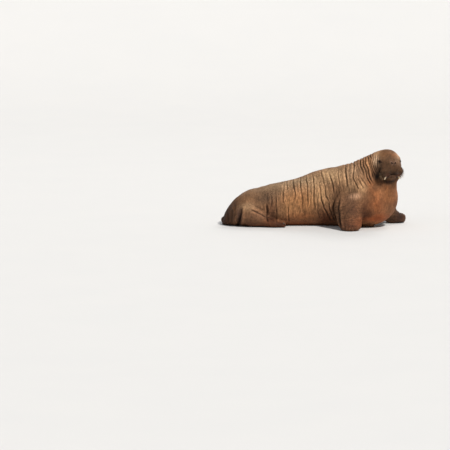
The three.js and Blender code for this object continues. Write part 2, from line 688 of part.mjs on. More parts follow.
// Each limb is parted across its wrist or ankle: the root is one with the body
const limbPieces = limbs.map(({ limb, cut }) => {
  const { centre, forward } = limbFrame(limb, cut);
  const [beyondCut, withinCut] = parting(centre, forward);
  const whole = solidOf(flipperGeometry(limb)).intersect(overFloor);
  return { flipper: largest(whole.intersect(beyondCut)), root: largest(whole.intersect(withinCut)) };
});
const flipperSockets = limbPieces.map(({ flipper }) => socketFor(new THREE.Mesh(geometryOf(flipper))));
const [foreRightRoot, foreLeftRoot, hindRightRoot, hindLeftRoot] = limbPieces.map(({ root }) => root);
const without = (solid, holes) => holes.reduce((left, hole) => left.subtract(hole), solid);

// The tail is a short flap of skin at the end of the rump
const tail = new THREE.Mesh(new THREE.SphereGeometry(1, 14, 8).scale(...TAIL.size), skinLike(COLOUR.tail));
tail.name = 'tail';
tail.position.set(RUMP_END + TAIL.inward, trunkMiddle(RUMP_END), TAIL.height);
const tailSocket = socketFor(tail);
walrus.add(tail);

addFlesh('hindquarters',
  without(trunkSolid.intersect(overFloor).intersect(behindPelvis).add(hindRightRoot).add(hindLeftRoot),
    [...flipperSockets, tailSocket]),
  skinLike(COLOUR.rump));
addFlesh('torso',
  without(trunkSolid.intersect(overFloor).intersect(beforePelvis).intersect(behindChestCut),
    flipperSockets),
  skinLike(COLOUR.flank));
addFlesh('chest',
  without(chestSolid.intersect(overFloor).intersect(beforeChestCut).intersect(underNeckCut)
    .add(foreRightRoot).add(foreLeftRoot), flipperSockets),
  skinLike(COLOUR.chest));
addFlesh('neck', neckSolid.intersect(inNeckPiece), skinLike(COLOUR.neck));

// The head, with a lid ball over each eye, opened by its almond and its socket
let head = headSolid.intersect(inHeadPiece).intersect(behindMuzzle).intersect(overMouth);
for (const eye of eyes) {
  head = head.add(ballAt(eye, EYE.radius + EYE.lid).intersect(behindMuzzle));
  head = head.subtract(lidOpening(eye)).subtract(socketFor(eye));
}
addFlesh('head', without(head, tuskSockets), skinLike(COLOUR.head));

const muzzle = largest(muzzleSolid.intersect(beforeMuzzle).intersect(inHeadPiece));
const moustache = pair(bristlesOf).flat();
const bareMuzzle = without(muzzle, [...tuskSockets, ...pair(nostril)]);
const beardedMuzzle = moustache.reduce((joined, bristle) => joined.add(bristle), bareMuzzle);
addFlesh('muzzle', beardedMuzzle, skinLike(COLOUR.muzzle));
const muzzleSocket = socketFor(new THREE.Mesh(geometryOf(muzzle)), LIP_GAP);
const lowerJaw = jawSolid.intersect(inHeadPiece).intersect(underMouth);
addFlesh('lower_jaw', without(lowerJaw, [muzzleSocket, ...tuskSockets]), skinLike(COLOUR.jaw));

limbs.forEach(({ name, limb, color, claws }, i) => {
  const nails = clawMeshes(limb, name.replace('flipper', 'claw') + '_', claws);
  addFlesh(name, without(limbPieces[i].flipper, nails.map((nail) => socketFor(nail))), skinLike(color));
  walrus.add(...nails);
});

walrus.add(...eyes, ...tusks);

// The frame's origin is on the floor under the middle of the whole animal
const box = new THREE.Box3().setFromObject(walrus);
const middle = box.getCenter(vec(0, 0, 0));
walrus.position.set(-middle.x, -middle.y, 0);

export default walrus;
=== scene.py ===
"""A young walrus, life size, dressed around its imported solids. Metres, +Z up."""

import itertools
import math

import bpy
import numpy as np
from mathutils import Matrix, Vector
from mathutils.bvhtree import BVHTree


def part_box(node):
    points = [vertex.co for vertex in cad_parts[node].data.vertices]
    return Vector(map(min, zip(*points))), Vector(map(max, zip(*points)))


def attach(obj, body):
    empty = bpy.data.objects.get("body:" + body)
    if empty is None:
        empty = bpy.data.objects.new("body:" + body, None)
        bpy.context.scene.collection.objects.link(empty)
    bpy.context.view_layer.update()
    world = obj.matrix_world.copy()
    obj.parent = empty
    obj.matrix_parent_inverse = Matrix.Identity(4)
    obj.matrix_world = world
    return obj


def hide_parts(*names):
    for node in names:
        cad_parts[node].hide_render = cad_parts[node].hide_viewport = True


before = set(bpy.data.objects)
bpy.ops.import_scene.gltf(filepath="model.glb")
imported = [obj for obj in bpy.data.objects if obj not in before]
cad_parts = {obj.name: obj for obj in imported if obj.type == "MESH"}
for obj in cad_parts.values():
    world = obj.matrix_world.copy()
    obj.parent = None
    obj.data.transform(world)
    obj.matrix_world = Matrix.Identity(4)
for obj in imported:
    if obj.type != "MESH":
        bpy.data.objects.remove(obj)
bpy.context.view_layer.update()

bl_info = {
    "name": "Young walrus",
    "version": (1, 0, 0),
    "blender": (4, 5, 0),
    "location": "3D View > Sidebar > Walrus",
    "description": "Builds a young walrus: its skin, coat, eyes, tusks, claws, moustache and stage",
    "category": "Add Mesh",
}

FLESH_NODES = (
    "tail", "hindquarters", "torso", "chest", "neck", "head", "muzzle", "lower_jaw",
    "fore_flipper_right", "fore_flipper_left", "hind_flipper_right", "hind_flipper_left",
)
SIDES = (("right", -1), ("left", 1))


# Places: the forms are given as they were drawn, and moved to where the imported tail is

DRAWN_TAIL = np.array((-0.932, 0.110, 0.050))
SHIFT = (np.array(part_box("tail")[0]) + np.array(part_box("tail")[1])) / 2 - DRAWN_TAIL
SHIFT[2] = 0.0

LEVEL = np.eye(3)
UP = LEVEL[2]
FACING = math.radians(20)
HEAD_FORWARD = np.array((math.sin(FACING), -math.cos(FACING), 0.0))
HEAD_LEFT = np.array((math.cos(FACING), math.sin(FACING), 0.0))
HEAD_AXES = np.array((HEAD_LEFT, HEAD_FORWARD, UP))
NOSE_TIP = (0.815, -0.380)
CHEST_YAW = math.radians(-34)
CHEST_AXES = np.array((
    (math.cos(CHEST_YAW), math.sin(CHEST_YAW), 0.0),
    (-math.sin(CHEST_YAW), math.cos(CHEST_YAW), 0.0),
    (0.0, 0.0, 1.0),
))
CHEST_CENTRE = np.array((0.590, -0.072, 0.302))
ELBOW = (-0.050, 0.312, 0.186)


def drawn(x, y, z):
    return np.array((x, y, z)) + SHIFT


def in_head(left, forward, height):
    """A place to the left of and ahead of the tip of the nose, at a height over the floor."""
    place = drawn(NOSE_TIP[0], NOSE_TIP[1], height)
    return place + left * HEAD_LEFT + forward * HEAD_FORWARD


def in_chest(forward, left, height):
    """A place ahead and to the left of the chest's centre, at a height over the floor."""
    place = drawn(CHEST_CENTRE[0], CHEST_CENTRE[1], height)
    return place + forward * CHEST_AXES[0] + left * CHEST_AXES[1]


def elbow(side, forward, lateral, rise):
    """A place near one elbow, moved ahead, outwards and up from it."""
    return in_chest(ELBOW[0] + forward, side * (ELBOW[1] + lateral), ELBOW[2] + rise)


def unit(vector):
    return vector / np.linalg.norm(vector)


def smooth(low, high, value):
    """Zero at the low end, one at the high end, and an even curve between them."""
    t = np.clip((value - low) / (high - low), 0.0, 1.0)
    return t * t * (3.0 - 2.0 * t)


def profile(pairs):
    """A smooth curve through (place, value) pairs, level beyond its ends."""
    places, values = np.array(pairs, float).T
    before = np.maximum(np.arange(len(places)) - 1, 0)
    after = np.minimum(np.arange(len(places)) + 1, len(places) - 1)
    slopes = (values[after] - values[before]) / (places[after] - places[before])

    def value(x):
        x = np.clip(x, places[0], places[-1])
        i = np.clip(np.searchsorted(places, x, side="right") - 1, 0, len(places) - 2)
        run = places[i + 1] - places[i]
        t = (x - places[i]) / run
        rise = (values[i + 1] - values[i]) * t * t * (3 - 2 * t)
        return values[i] + rise + run * (t * (1 - t) ** 2 * slopes[i] + t * t * (t - 1) * slopes[i + 1])

    return value


def evenly(values):
    return profile([(i / (len(values) - 1), value) for i, value in enumerate(values)])


# Forms of the flesh. Each gives about the distance to its surface, below zero inside.


class Egg:
    """An ellipsoid."""

    def __init__(self, centre, radii, axes=LEVEL):
        self.centre, self.radii, self.axes = np.array(centre), np.array(radii), np.array(axes)

    def __call__(self, points):
        parts = (points - self.centre) @ self.axes.T / self.radii
        near = np.linalg.norm(parts, axis=1)
        slope = np.linalg.norm(parts / self.radii, axis=1)
        return near * (near - 1) / np.maximum(slope, 1e-9)

    def eggs(self):
        return [self]


class Limb:
    """A round limb with a radius at each end."""

    def __init__(self, start, start_radius, end, end_radius):
        self.start, self.end = np.array(start), np.array(end)
        self.radii = (start_radius, end_radius)

    def __call__(self, points):
        line = self.end - self.start
        t = np.clip((points - self.start) @ line / (line @ line), 0, 1)
        away = np.linalg.norm(points - self.start - t[:, None] * line, axis=1)
        return away - self.radii[0] - t * (self.radii[1] - self.radii[0])

    def eggs(self):
        steps = np.linspace(0, 1, 5)
        radii = self.radii[0] + steps * (self.radii[1] - self.radii[0])
        return [Egg(self.start + t * (self.end - self.start), (r, r, r)) for t, r in zip(steps, radii)]


def joined(softness, first, second):
    """Two distances as one, with the crease between the forms filled over a softness."""
    near = np.maximum(softness - np.abs(first - second), 0) / softness
    return np.minimum(first, second) - near * near * softness / 4


def blended(softness, forms, points):
    total = forms[0](points)
    for form in forms[1:]:
        total = joined(softness, total, form(points))
    return total


RUMP_END, RUMP_START, CHEST_START, CHEST_END = -0.964, -0.600, 0.300, 0.620
BACK_HEIGHT = profile([(-0.600, 0.385), (-0.460, 0.424), (-0.250, 0.464), (-0.140, 0.496),
                       (0.060, 0.572), (0.320, 0.622), (0.620, 0.630)])
TRUNK_HALF = profile([(-0.600, 0.255), (-0.250, 0.272), (0.060, 0.290), (0.320, 0.282),
                      (0.620, 0.240)])
TRUNK_MIDDLE = profile([(-0.960, 0.110), (-0.740, 0.092), (-0.460, 0.112), (-0.200, 0.148),
                        (0.060, 0.148), (0.320, 0.070), (0.620, -0.060)])
RUMP_SLOPE, RUMP_ROUND = 1.7, 2.3
WIDEST_AT, SAG, LOAF = 0.42, 0.035, 2.3


def closing(x, power):
    """The share of its full size that the trunk has where it rounds off at both ends."""
    back = np.maximum(0, (RUMP_START - x) / (RUMP_START - RUMP_END))
    front = np.maximum(0, (x - CHEST_START) / (CHEST_END - CHEST_START))
    rear = np.maximum(1e-6, 1 - back ** power) ** (1 / power)
    return rear * np.sqrt(np.maximum(1e-6, 1 - front * front))


def trunk(points):
    """The trunk is a loaf: widest below its middle, flat where it lies on the floor."""
    p = points - SHIFT
    x = np.clip(p[:, 0], RUMP_END, CHEST_END)
    top = BACK_HEIGHT(x) * closing(x, RUMP_SLOPE)
    half = TRUNK_HALF(x) * closing(x, RUMP_ROUND)
    middle = WIDEST_AT * top
    rise = np.where(p[:, 2] > middle, top - middle, middle + SAG * top)
    across = np.abs(p[:, 1] - TRUNK_MIDDLE(x)) / half
    along = np.abs(p[:, 2] - middle) / rise
    radius = (across ** LOAF + along ** LOAF) ** (1 / LOAF)
    return (radius - 1) * np.minimum(half, rise) + np.abs(p[:, 0] - x)


def beside(x, lateral, height):
    return drawn(x, float(TRUNK_MIDDLE(x)) + lateral, height)


def head_egg(left, forward, height, radii):
    return Egg(in_head(left, forward, height), radii, HEAD_AXES)


PAD = (0.060, -0.060, 0.606)
PAD_RADII = (0.072, 0.061, 0.060)
ARM_ROOT, ARM_END = 0.132, 0.108
THIGH = (-0.650, 0.182, 0.122)

BODY = [
    Egg(in_chest(0, 0, CHEST_CENTRE[2]), (0.284, 0.300, 0.286), CHEST_AXES),
    Limb(drawn(0.425, 0.015, 0.395), 0.262, drawn(0.695, -0.165, 0.640), 0.168),
    Egg(drawn(0.700, -0.150, 0.470), (0.160, 0.165, 0.150)),
]
TAIL = Egg(DRAWN_TAIL + SHIFT, (0.046, 0.056, 0.040))
SKULL = [
    head_egg(0, -0.178, 0.683, (0.140, 0.146, 0.145)),
    Limb(in_head(0, -0.140, 0.690), 0.112, in_head(0, -0.075, 0.640), 0.084),
]
SNOUT = [
    head_egg(0, -0.074, 0.618, (0.094, 0.060, 0.070)),
    head_egg(0, -0.040, 0.690, (0.044, 0.038, 0.030)),
]
JAW = [
    head_egg(0, -0.080, 0.546, (0.056, 0.050, 0.038)),
    head_egg(0, -0.041, 0.562, (0.052, 0.030, 0.023)),
    Limb(in_head(0, -0.104, 0.548), 0.052, in_head(0, -0.215, 0.505), 0.116),
]
LIP_NOTCH = head_egg(0, 0.012, 0.572, (0.040, 0.034, 0.010))
BROWS = []
CHEEK_HOLLOWS = []
THIGHS = []
WRISTS = {-1: drawn(0.372, -0.386, 0.080), 1: drawn(0.820, 0.240, 0.078)}
ARM_BACK = Limb(drawn(0.312, -0.270, 0.262), 0.104, drawn(0.334, -0.330, 0.120), 0.096)
for _, side in SIDES:
    BODY += [
        Egg(in_chest(-0.066, side * 0.205, 0.345), (0.150, 0.112, 0.160), CHEST_AXES),
        Limb(in_chest(-0.030, side * 0.180, 0.300), ARM_ROOT, elbow(side, 0, 0, 0), ARM_END),
        Limb(elbow(side, 0, 0, -0.010), ARM_END - 0.004, WRISTS[side], 0.082),
    ]
    THIGHS += [
        Limb(beside(THIGH[0] - 0.110, side * (THIGH[1] - 0.040), THIGH[2] + 0.012), 0.110,
             beside(THIGH[0], side * THIGH[1], THIGH[2]), 0.124),
    ]
    SKULL += [
        head_egg(side * 0.083, -0.168, 0.622, (0.066, 0.082, 0.088)),
        head_egg(side * 0.072, -0.208, 0.556, (0.083, 0.084, 0.090)),
    ]
    CHEEK_HOLLOWS += [head_egg(side * 0.134, -0.090, 0.586, (0.028, 0.036, 0.066))]
    SNOUT += [
        head_egg(side * 0.025, -0.026, 0.697, (0.020, 0.019, 0.018)),
        head_egg(side * PAD[0], PAD[1], PAD[2], PAD_RADII),
    ]
    BROWS += [head_egg(side * 0.084, -0.114, 0.731, (0.034, 0.040, 0.024))]
BODY += [ARM_BACK]


# Flippers: a path from the root to the tips, with half the width and thickness on the way

DIGITS = 5
TIP_ROUND = 0.030


def path_through(points):
    """Places and directions along a centripetal curve through the points."""
    points = np.array(points)
    points = np.vstack((2 * points[0] - points[1], points, 2 * points[-1] - points[-2]))

    def at(s):
        place = s * (len(points) - 3)
        i = min(int(place), len(points) - 4)
        w = place - i
        a, b, c, d = points[i:i + 4]
        d0, d1, d2 = (max(np.linalg.norm(q - p) ** 0.5, 1e-4) for p, q in ((a, b), (b, c), (c, d)))
        start = ((b - a) / d0 - (c - a) / (d0 + d1) + (c - b) / d1) * d1
        end = ((c - b) / d1 - (d - b) / (d1 + d2) + (d - c) / d2) * d1
        curve = (b, start, 3 * (c - b) - 2 * start - end, 2 * (b - c) + start + end)
        centre = sum(term * w ** k for k, term in enumerate(curve))
        return centre, unit(curve[1] + 2 * w * curve[2] + 3 * w * w * curve[3])

    return at


class Flipper:
    """A flat limb along a path, with ridges and notches between its digits at the tip."""

    STEPS = 48

    def __init__(self, path, across, half, thick, tip_round, scallop, ridge):
        self.at, self.across = path_through(path), across
        self.half, self.thick = evenly(half), evenly(thick)
        self.tip_round, self.scallop, self.ridge = tip_round, scallop, ridge
        self.s = np.linspace(0, 1, self.STEPS)
        frames = [self.frame(s) for s in self.s]
        self.centres, self.forwards, self.acrosses, self.ups = (np.array(rows) for rows in zip(*frames))
        self.length = np.append(0, np.cumsum(np.linalg.norm(np.diff(self.centres, axis=0), axis=1)))

    def frame(self, s):
        """The middle, the way ahead, the way across and the way up at a share of the length."""
        centre, forward = self.at(s)
        turn = smooth(0.1, 0.7, s)
        across = self.across[0] + turn * (self.across[1] - self.across[0])
        across = unit(across - (across @ forward) * forward)
        return centre, forward, across, np.cross(across, forward)

    def __call__(self, points):
        low, high = self.centres.min(0) - 0.2, self.centres.max(0) + 0.2
        close = np.all((points > low) & (points < high), axis=1)
        result = np.full(len(points), 0.5)
        if close.any():
            result[close] = self.near(points[close])
        return result

    def near(self, points):
        """The distance, from the cross-section at the nearest place along the path."""
        away = ((points[:, None] - self.centres[None]) ** 2).sum(2)
        k = np.argmin(away, axis=1)
        offset = points - self.centres[k]
        ahead = (offset * self.forwards[k]).sum(1)
        step = np.where(ahead > 0, 1, -1)
        other = np.clip(k + step, 0, self.STEPS - 1)
        gap = np.where(other == k, 1.0, np.abs(self.length[other] - self.length[k]))
        part = np.where(other == k, 0.0, np.clip(np.abs(ahead) / gap, 0, 1))[:, None]
        centre = self.centres[k] * (1 - part) + self.centres[other] * part
        forward, across, up = (
            rows[k] * (1 - part) + rows[other] * part for rows in (self.forwards, self.acrosses, self.ups))
        s = self.s[k] * (1 - part[:, 0]) + self.s[other] * part[:, 0]
        offset = points - centre
        u = (offset * across).sum(1) / self.half(s)
        flat = smooth(0.5, 0.85, s)
        power = 2 + flat
        ridges = np.cos(DIGITS * np.pi * np.clip(u, -1, 1)) * flat
        thick = self.thick(s) * (1 + self.ridge * ridges)
        v = (offset * up).sum(1) / thick
        past = (offset * forward).sum(1) - self.scallop * ridges * smooth(0.65, 1, s)
        past += self.tip_round * np.minimum(u * u, 1.4) * smooth(0.65, 1, s)
        before_tip = np.where(s > 0.5, self.length[-1] * (1 - s), 1.0)
        q = np.maximum(0, past - before_tip + TIP_ROUND) / TIP_ROUND
        behind = np.maximum(0, -(offset * forward).sum(1)) * (k == 0)
        radius = (np.abs(u) ** power + np.abs(v) ** power + q ** power) ** (1 / power)
        return (radius - 1) * np.minimum(thick, TIP_ROUND + thick) + behind


def hind_flipper(side):
    way = ((-0.700, 0.150, 0.128), (-0.625, 0.186, 0.112), (-0.550, 0.222, 0.084),
           (-0.480, 0.250, 0.056), (-0.390, 0.272, 0.032), (-0.280, 0.284, 0.014))
    return Flipper(
        [beside(x, side * lateral, z) for x, lateral, z in way], np.array(((0, -1, 0), (0, -1, 0))),
        (0.096, 0.112, 0.092, 0.070, 0.066, 0.046), (0.088, 0.112, 0.084, 0.052, 0.030, 0.014),
        -0.026, 0.013, 0.20)


FLIPPERS = {
    "fore_right": Flipper(
        [elbow(-1, 0.020, -0.045, 0.062), elbow(-1, 0, 0, 0), drawn(0.376, -0.354, 0.122),
         drawn(0.372, -0.376, 0.074), drawn(0.366, -0.432, 0.040), drawn(0.350, -0.532, 0.016)],
        np.array(((-1, -0.1, -0.1), (-1, 0.2, 0))),
        (0.080, 0.100, 0.116, 0.122, 0.118, 0.066), (0.070, 0.084, 0.084, 0.064, 0.042, 0.020),
        0.034, 0.006, 0.11),
    "fore_left": Flipper(
        [elbow(1, 0.020, -0.045, 0.062), elbow(1, 0, 0, 0), drawn(0.784, 0.212, 0.126),
         drawn(0.812, 0.236, 0.082), drawn(0.870, 0.266, 0.056), drawn(0.964, 0.318, 0.040)],
        np.array(((0.6, -0.8, 0.1), (0.5, -0.86, 0))),
        (0.078, 0.088, 0.098, 0.106, 0.110, 0.084), (0.070, 0.084, 0.080, 0.064, 0.054, 0.042),
        0.034, 0.006, 0.10),
    "hind_right": hind_flipper(-1),
    "hind_left": hind_flipper(1),
}


def upper_head(points):
    """The head above the mouth: its crease round the muzzle is sharp below and filled above."""
    filling = 0.010 + 0.034 * smooth(0.59, 0.67, points[:, 2])
    upper = joined(filling, blended(0.040, SKULL, points), blended(0.018, SNOUT, points))
    upper = joined(0.024, upper, blended(0.020, BROWS, points))
    for hollow in CHEEK_HOLLOWS:
        upper = -joined(0.016, -upper, hollow(points))
    return -joined(0.007, -upper, LIP_NOTCH(points))


def lower_jaw(points):
    return blended(0.026, JAW, points)


def flesh(points):
    """About the distance from each point to the whole animal's skin."""
    body = joined(0.060, trunk(points), blended(0.060, BODY, points))
    body = joined(0.034, body, blended(0.060, THIGHS, points))
    body = joined(0.020, body, TAIL(points))
    for name, flipper in FLIPPERS.items():
        body = joined(0.040 if name.startswith("fore") else 0.020, body, flipper(points))
    ahead = (points - in_head(0, 0, 0)) @ HEAD_FORWARD
    aside = np.abs((points - in_head(0, 0, 0)) @ HEAD_LEFT)
    mouth = 0.030 - 0.027 * smooth(-0.16, -0.11, ahead) * (1 - 0.45 * smooth(0.020, 0.045, aside))
    head = joined(mouth, upper_head(points), lower_jaw(points))
    under = 0.030 - 0.014 * smooth(0.62, 0.54, points[:, 2])
    return joined(under, body, head)


# Modelling helpers


def deselect():
    bpy.ops.object.select_all(action="DESELECT")


def choose(*pieces):
    deselect()
    for piece in pieces:
        piece.select_set(True)
    bpy.context.view_layer.objects.active = pieces[0]


def apply_modifier(piece, kind, **settings):
    choose(piece)
    modifier = piece.modifiers.new(kind.title(), kind)
    for name, value in settings.items():
        setattr(modifier, name, value)
    bpy.ops.object.modifier_apply(modifier=modifier.name)


def settle(piece):
    """Puts the object at the origin, unturned and unscaled, with its place in its mesh."""
    choose(piece)
    bpy.ops.object.transform_apply(location=True, rotation=True, scale=True)


def add_ball(centre, radii, axes=LEVEL, around=32, rings=16):
    deselect()
    bpy.ops.mesh.primitive_uv_sphere_add(segments=around, ring_count=rings, radius=1)
    piece = bpy.context.active_object
    turn = Matrix(np.array(axes).T.tolist()).to_4x4()
    piece.matrix_world = Matrix.Translation(centre) @ turn @ Matrix.Diagonal((*radii, 1))
    settle(piece)
    return piece


def node_copy(name):
    """A CAD node's shape as a piece of its own, its loose triangles merged."""
    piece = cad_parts[name].copy()
    piece.data = piece.data.copy()
    piece.parent = None
    piece.matrix_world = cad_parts[name].matrix_world.copy()
    bpy.context.collection.objects.link(piece)
    settle(piece)
    bpy.ops.object.mode_set(mode="EDIT")
    bpy.ops.mesh.select_all(action="SELECT")
    bpy.ops.mesh.remove_doubles(threshold=1e-5)
    bpy.ops.object.mode_set(mode="OBJECT")
    return piece


def join(pieces, name):
    choose(*pieces)
    bpy.ops.object.join()
    whole = bpy.context.active_object
    whole.name = whole.data.name = name
    return whole


def values_of(rows, name, width=1, kind=np.float32):
    """One value, or a row of them, of every vertex, edge or face."""
    flat = np.empty(len(rows) * width, kind)
    rows.foreach_get(name, flat)
    return flat.reshape(-1, width) if width > 1 else flat


def places(mesh):
    return values_of(mesh.vertices, "co", 3).astype(float)


def put_places(mesh, points):
    mesh.vertices.foreach_set("co", points.astype(np.float32).ravel())
    mesh.update()


def normals(mesh):
    return values_of(mesh.vertices, "normal", 3).astype(float)


def edges(mesh):
    return values_of(mesh.edges, "vertices", 2, np.int32)


def evened(values, pairs, share, rounds=1):
    """Values at the vertices, each drawn towards the mean of its neighbours."""
    values = values.astype(float)
    count = np.bincount(pairs.ravel(), minlength=len(values)).astype(float)
    for _ in range(rounds):
        total = np.zeros_like(values)
        for a, b in ((0, 1), (1, 0)):
            if values.ndim == 1:
                total += np.bincount(pairs[:, a], values[pairs[:, b]], len(values))
            else:
                for k in range(values.shape[1]):
                    total[:, k] += np.bincount(pairs[:, a], values[pairs[:, b], k], len(values))
        mean = (total.T / count).T
        values = values + share * (mean - values)
    return values


def noise(points, scale, seed=0):
    """Smooth random values from -1 to 1, a cell of them 1 / scale across."""
    q = points * np.array(scale) + 31.7 * (seed + 1)
    cell = np.floor(q).astype(np.int64)
    part = q - cell
    part = part * part * (3 - 2 * part)
    total = np.zeros(len(points))
    for corner in itertools.product((0, 1), repeat=3):
        n = (cell + corner) @ np.array((374761393, 668265263, 1274126177)) + seed * 144665
        n = (n ^ (n >> 13)) * 1103515245
        value = ((n ^ (n >> 16)) & 0xFFFF) / 32767.5 - 1
        total += value * np.prod(np.where(corner, part, 1 - part), axis=1)
    return total


def linear(red, green, blue):
    """A colour as a screen shows it, 0 to 255, as the shader's light values."""
    screen = np.array((red, green, blue)) / 255
    return np.where(screen <= 0.04045, screen / 12.92, ((screen + 0.055) / 1.055) ** 2.4)


def over(colour, tone, share):
    """A colour at each point with a tone laid over it by a share."""
    share = share[:, None]
    return colour * (1 - share) + linear(*tone) * share


def put_values(mesh, name, values):
    attribute = mesh.attributes.new(name, "FLOAT", "POINT")
    attribute.data.foreach_set("value", values.astype(np.float32))


def put_colours(mesh, name, colours):
    attribute = mesh.color_attributes.new(name, "FLOAT_COLOR", "POINT")
    full = np.column_stack((colours, np.ones(len(colours)))).astype(np.float32)
    attribute.data.foreach_set("color", full.ravel())


# Pulling a rough shape onto the skin's surface

SLOPE_STEP = 0.0004
LONGEST_STEP = 0.02
EVENING = 0.6


def slope_of(points, value):
    """How the distance to the flesh changes along each axis."""
    return np.column_stack([(flesh(points + SLOPE_STEP * axis) - value) / SLOPE_STEP for axis in LEVEL])


TIP_REACH, TIP_FADE, TIP_HEIGHT = 0.10, 0.16, 0.11


def tip_share(points):
    """1 at the thin tips of the flippers."""
    share = np.zeros(len(points))
    for flipper in FLIPPERS.values():
        away = np.linalg.norm(points - flipper.centres[-1], axis=1)
        share = np.maximum(share, 1 - smooth(TIP_REACH, TIP_FADE, away))
    return share * (points[:, 2] < TIP_HEIGHT)


def pull_to_flesh(mesh, rounds, inset, moving=None):
    """Moves the vertices to the flesh's surface, evening out their spacing on the way."""
    points, pairs = places(mesh), edges(mesh)
    moving = np.ones(len(points), bool) if moving is None else moving(points)
    for turn in range(rounds):
        if turn < rounds - 1:
            points[moving] = evened(points, pairs, EVENING)[moving]
        value = flesh(points[moving])
        slope = slope_of(points[moving], value)
        steep = np.maximum((slope * slope).sum(1), 0.2)
        step = np.clip((value + inset) / steep, -LONGEST_STEP, LONGEST_STEP)
        points[moving] -= step[:, None] * slope
    put_places(mesh, points)


def split_faces(piece, wanted):
    """Cuts each wanted face into four."""
    mesh = piece.data
    middles = values_of(mesh.polygons, "center", 3).astype(float)
    facing = values_of(mesh.polygons, "normal", 3).astype(float)
    chosen = wanted(middles, facing)
    choose(piece)
    bpy.ops.object.mode_set(mode="EDIT")
    bpy.ops.mesh.select_all(action="DESELECT")
    bpy.ops.mesh.select_mode(type="FACE")
    bpy.ops.object.mode_set(mode="OBJECT")
    mesh.polygons.foreach_set("select", chosen)
    bpy.ops.object.mode_set(mode="EDIT")
    bpy.ops.mesh.subdivide(number_cuts=1, ngon=False)
    bpy.ops.object.mode_set(mode="OBJECT")


# The face: where its eyes and nostrils are


def middle_of(node):
    low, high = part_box(node)
    return (np.array(low) + np.array(high)) / 2


class Eye:
    """An eyeball's place and axes, and the almond opening of its lids."""

    RADIUS = 0.019
    LID = 0.0034
    WIDE, HIGH = 0.0138, 0.0090
    TILT = math.radians(14)

    def __init__(self, name, side):
        self.name, self.side = name, side
        self.centre = middle_of("eye_" + name)
        self.outward = unit(side * 0.70 * HEAD_LEFT + 0.68 * HEAD_FORWARD + 0.16 * UP)
        level = unit(np.cross(UP, self.outward))
        upright = np.cross(self.outward, level)
        self.level = math.cos(self.TILT) * level + side * math.sin(self.TILT) * upright
        self.upright = np.cross(self.outward, self.level)
        self.axes = np.array((self.level, self.upright, self.outward))

    def opening(self, points):
        """Each point's place in the eye's own axes, and its distance from the middle of the lids as
        a share of the way to their edge: the lids meet in a point at each corner."""
        across, upright, ahead = ((points - self.centre) @ self.axes.T).T
        inner = -self.side * across
        arch = np.where(upright > 0.0, 1.0 - 0.16 * inner / self.WIDE, 0.74)
        corner = np.clip(np.abs(across) / self.WIDE, 0, 1)
        height = self.HIGH * np.clip(arch, 0.5, 1.2) * (1 - 0.34 * corner ** 2)
        reach = (np.abs(across / self.WIDE) ** 1.7 + np.abs(upright / height) ** 1.7) ** (1 / 1.7)
        return across, upright, ahead, reach


EYES = [Eye(name, side) for name, side in SIDES]
NOSTRIL = (0.0190, 0.6985)
NOSTRIL_HALF = (0.0066, 0.0118)
NOSTRIL_LEAN = 0.32
EAR = (0.139, -0.205, 0.706)


def head_places(points):
    """Each point as left of, ahead of and above the tip of the nose on the floor."""
    return (points - in_head(0, 0, 0)) @ HEAD_AXES.T


def nostril_reach(points, side):
    left, _, height = head_places(points).T
    across = (left - side * NOSTRIL[0]) - side * NOSTRIL_LEAN * (height - NOSTRIL[1])
    return np.hypot(across / NOSTRIL_HALF[0], (height - NOSTRIL[1]) / NOSTRIL_HALF[1])


def hill(away, half):
    """One at no distance, falling away in a bell as wide as its half."""
    return np.exp(-((away / half) ** 2))


def on_face(points):
    left, forward, height = head_places(points).T
    return (forward > -0.155) & (height > 0.50) & (height < 0.775) & (np.abs(left) < 0.17)


NOSE_ZONE, LIP_ZONE = (0.042, -0.06, 0.028), (0.085, -0.075, 0.022)
LIP_HEIGHT = 0.571
EYE_ZONE, EYE_FRONT = 0.034, 0.014


def on_features(points):
    """Whether each point is at the nostrils, the lips or an eye, where the faces are smallest."""
    left, forward, height = head_places(points).T
    found = np.zeros(len(points), bool)
    for (half, back, rise), level in ((NOSE_ZONE, NOSTRIL[1]), (LIP_ZONE, LIP_HEIGHT)):
        found |= (np.abs(left) < half) & (forward > back) & (np.abs(height - level) < rise)
    for eye in EYES:
        front = eye.centre + EYE_FRONT * eye.outward
        found |= np.linalg.norm(points - front, axis=1) < EYE_ZONE
    return found


LID_FOLDS = (
    # how far out, depth, width, on the upper side or the lower
    (1.62, 0.0024, 0.16, 1),
    (2.25, 0.0017, 0.20, 1),
    (2.95, 0.0013, 0.22, 1),
    (1.70, 0.0020, 0.18, -1),
    (2.45, 0.0015, 0.22, -1),
)
LID_RIM, LID_SINK = 0.0016, 0.0035
NOSTRIL_DEPTH, NOSTRIL_RIM, NOSE_LINE = 0.017, 0.0030, 0.0040
EAR_DEPTH, EAR_HALF, EAR_RIM, EAR_RIM_AT = 0.0090, 0.0075, 0.0030, 0.016


def set_lids(points):
    """Domes the skin over each eyeball, opens it along the lids and wrinkles it round them."""
    for eye in EYES:
        _, upright, ahead, reach = eye.opening(points)
        offset = points - eye.centre
        away = np.linalg.norm(offset, axis=1)
        facing = smooth(-0.004, 0.006, ahead) * (away < 0.048)
        rim = LID_RIM * hill(reach - 1.20, 0.18)
        fold = np.zeros(len(points))
        for out, depth, width, over in LID_FOLDS:
            here = smooth(-0.0015, 0.0030, over * upright)
            fold -= depth * here * hill(reach - out, width)
        domed = np.maximum(away, eye.RADIUS + eye.LID + rim) + fold
        edge = smooth(0.90, 1.06, reach)
        target = (eye.RADIUS - LID_SINK) * (1 - edge) + domed * edge
        target = away + facing * (target - away)
        points = eye.centre + offset * (target / np.maximum(away, 1e-6))[:, None]
    return points


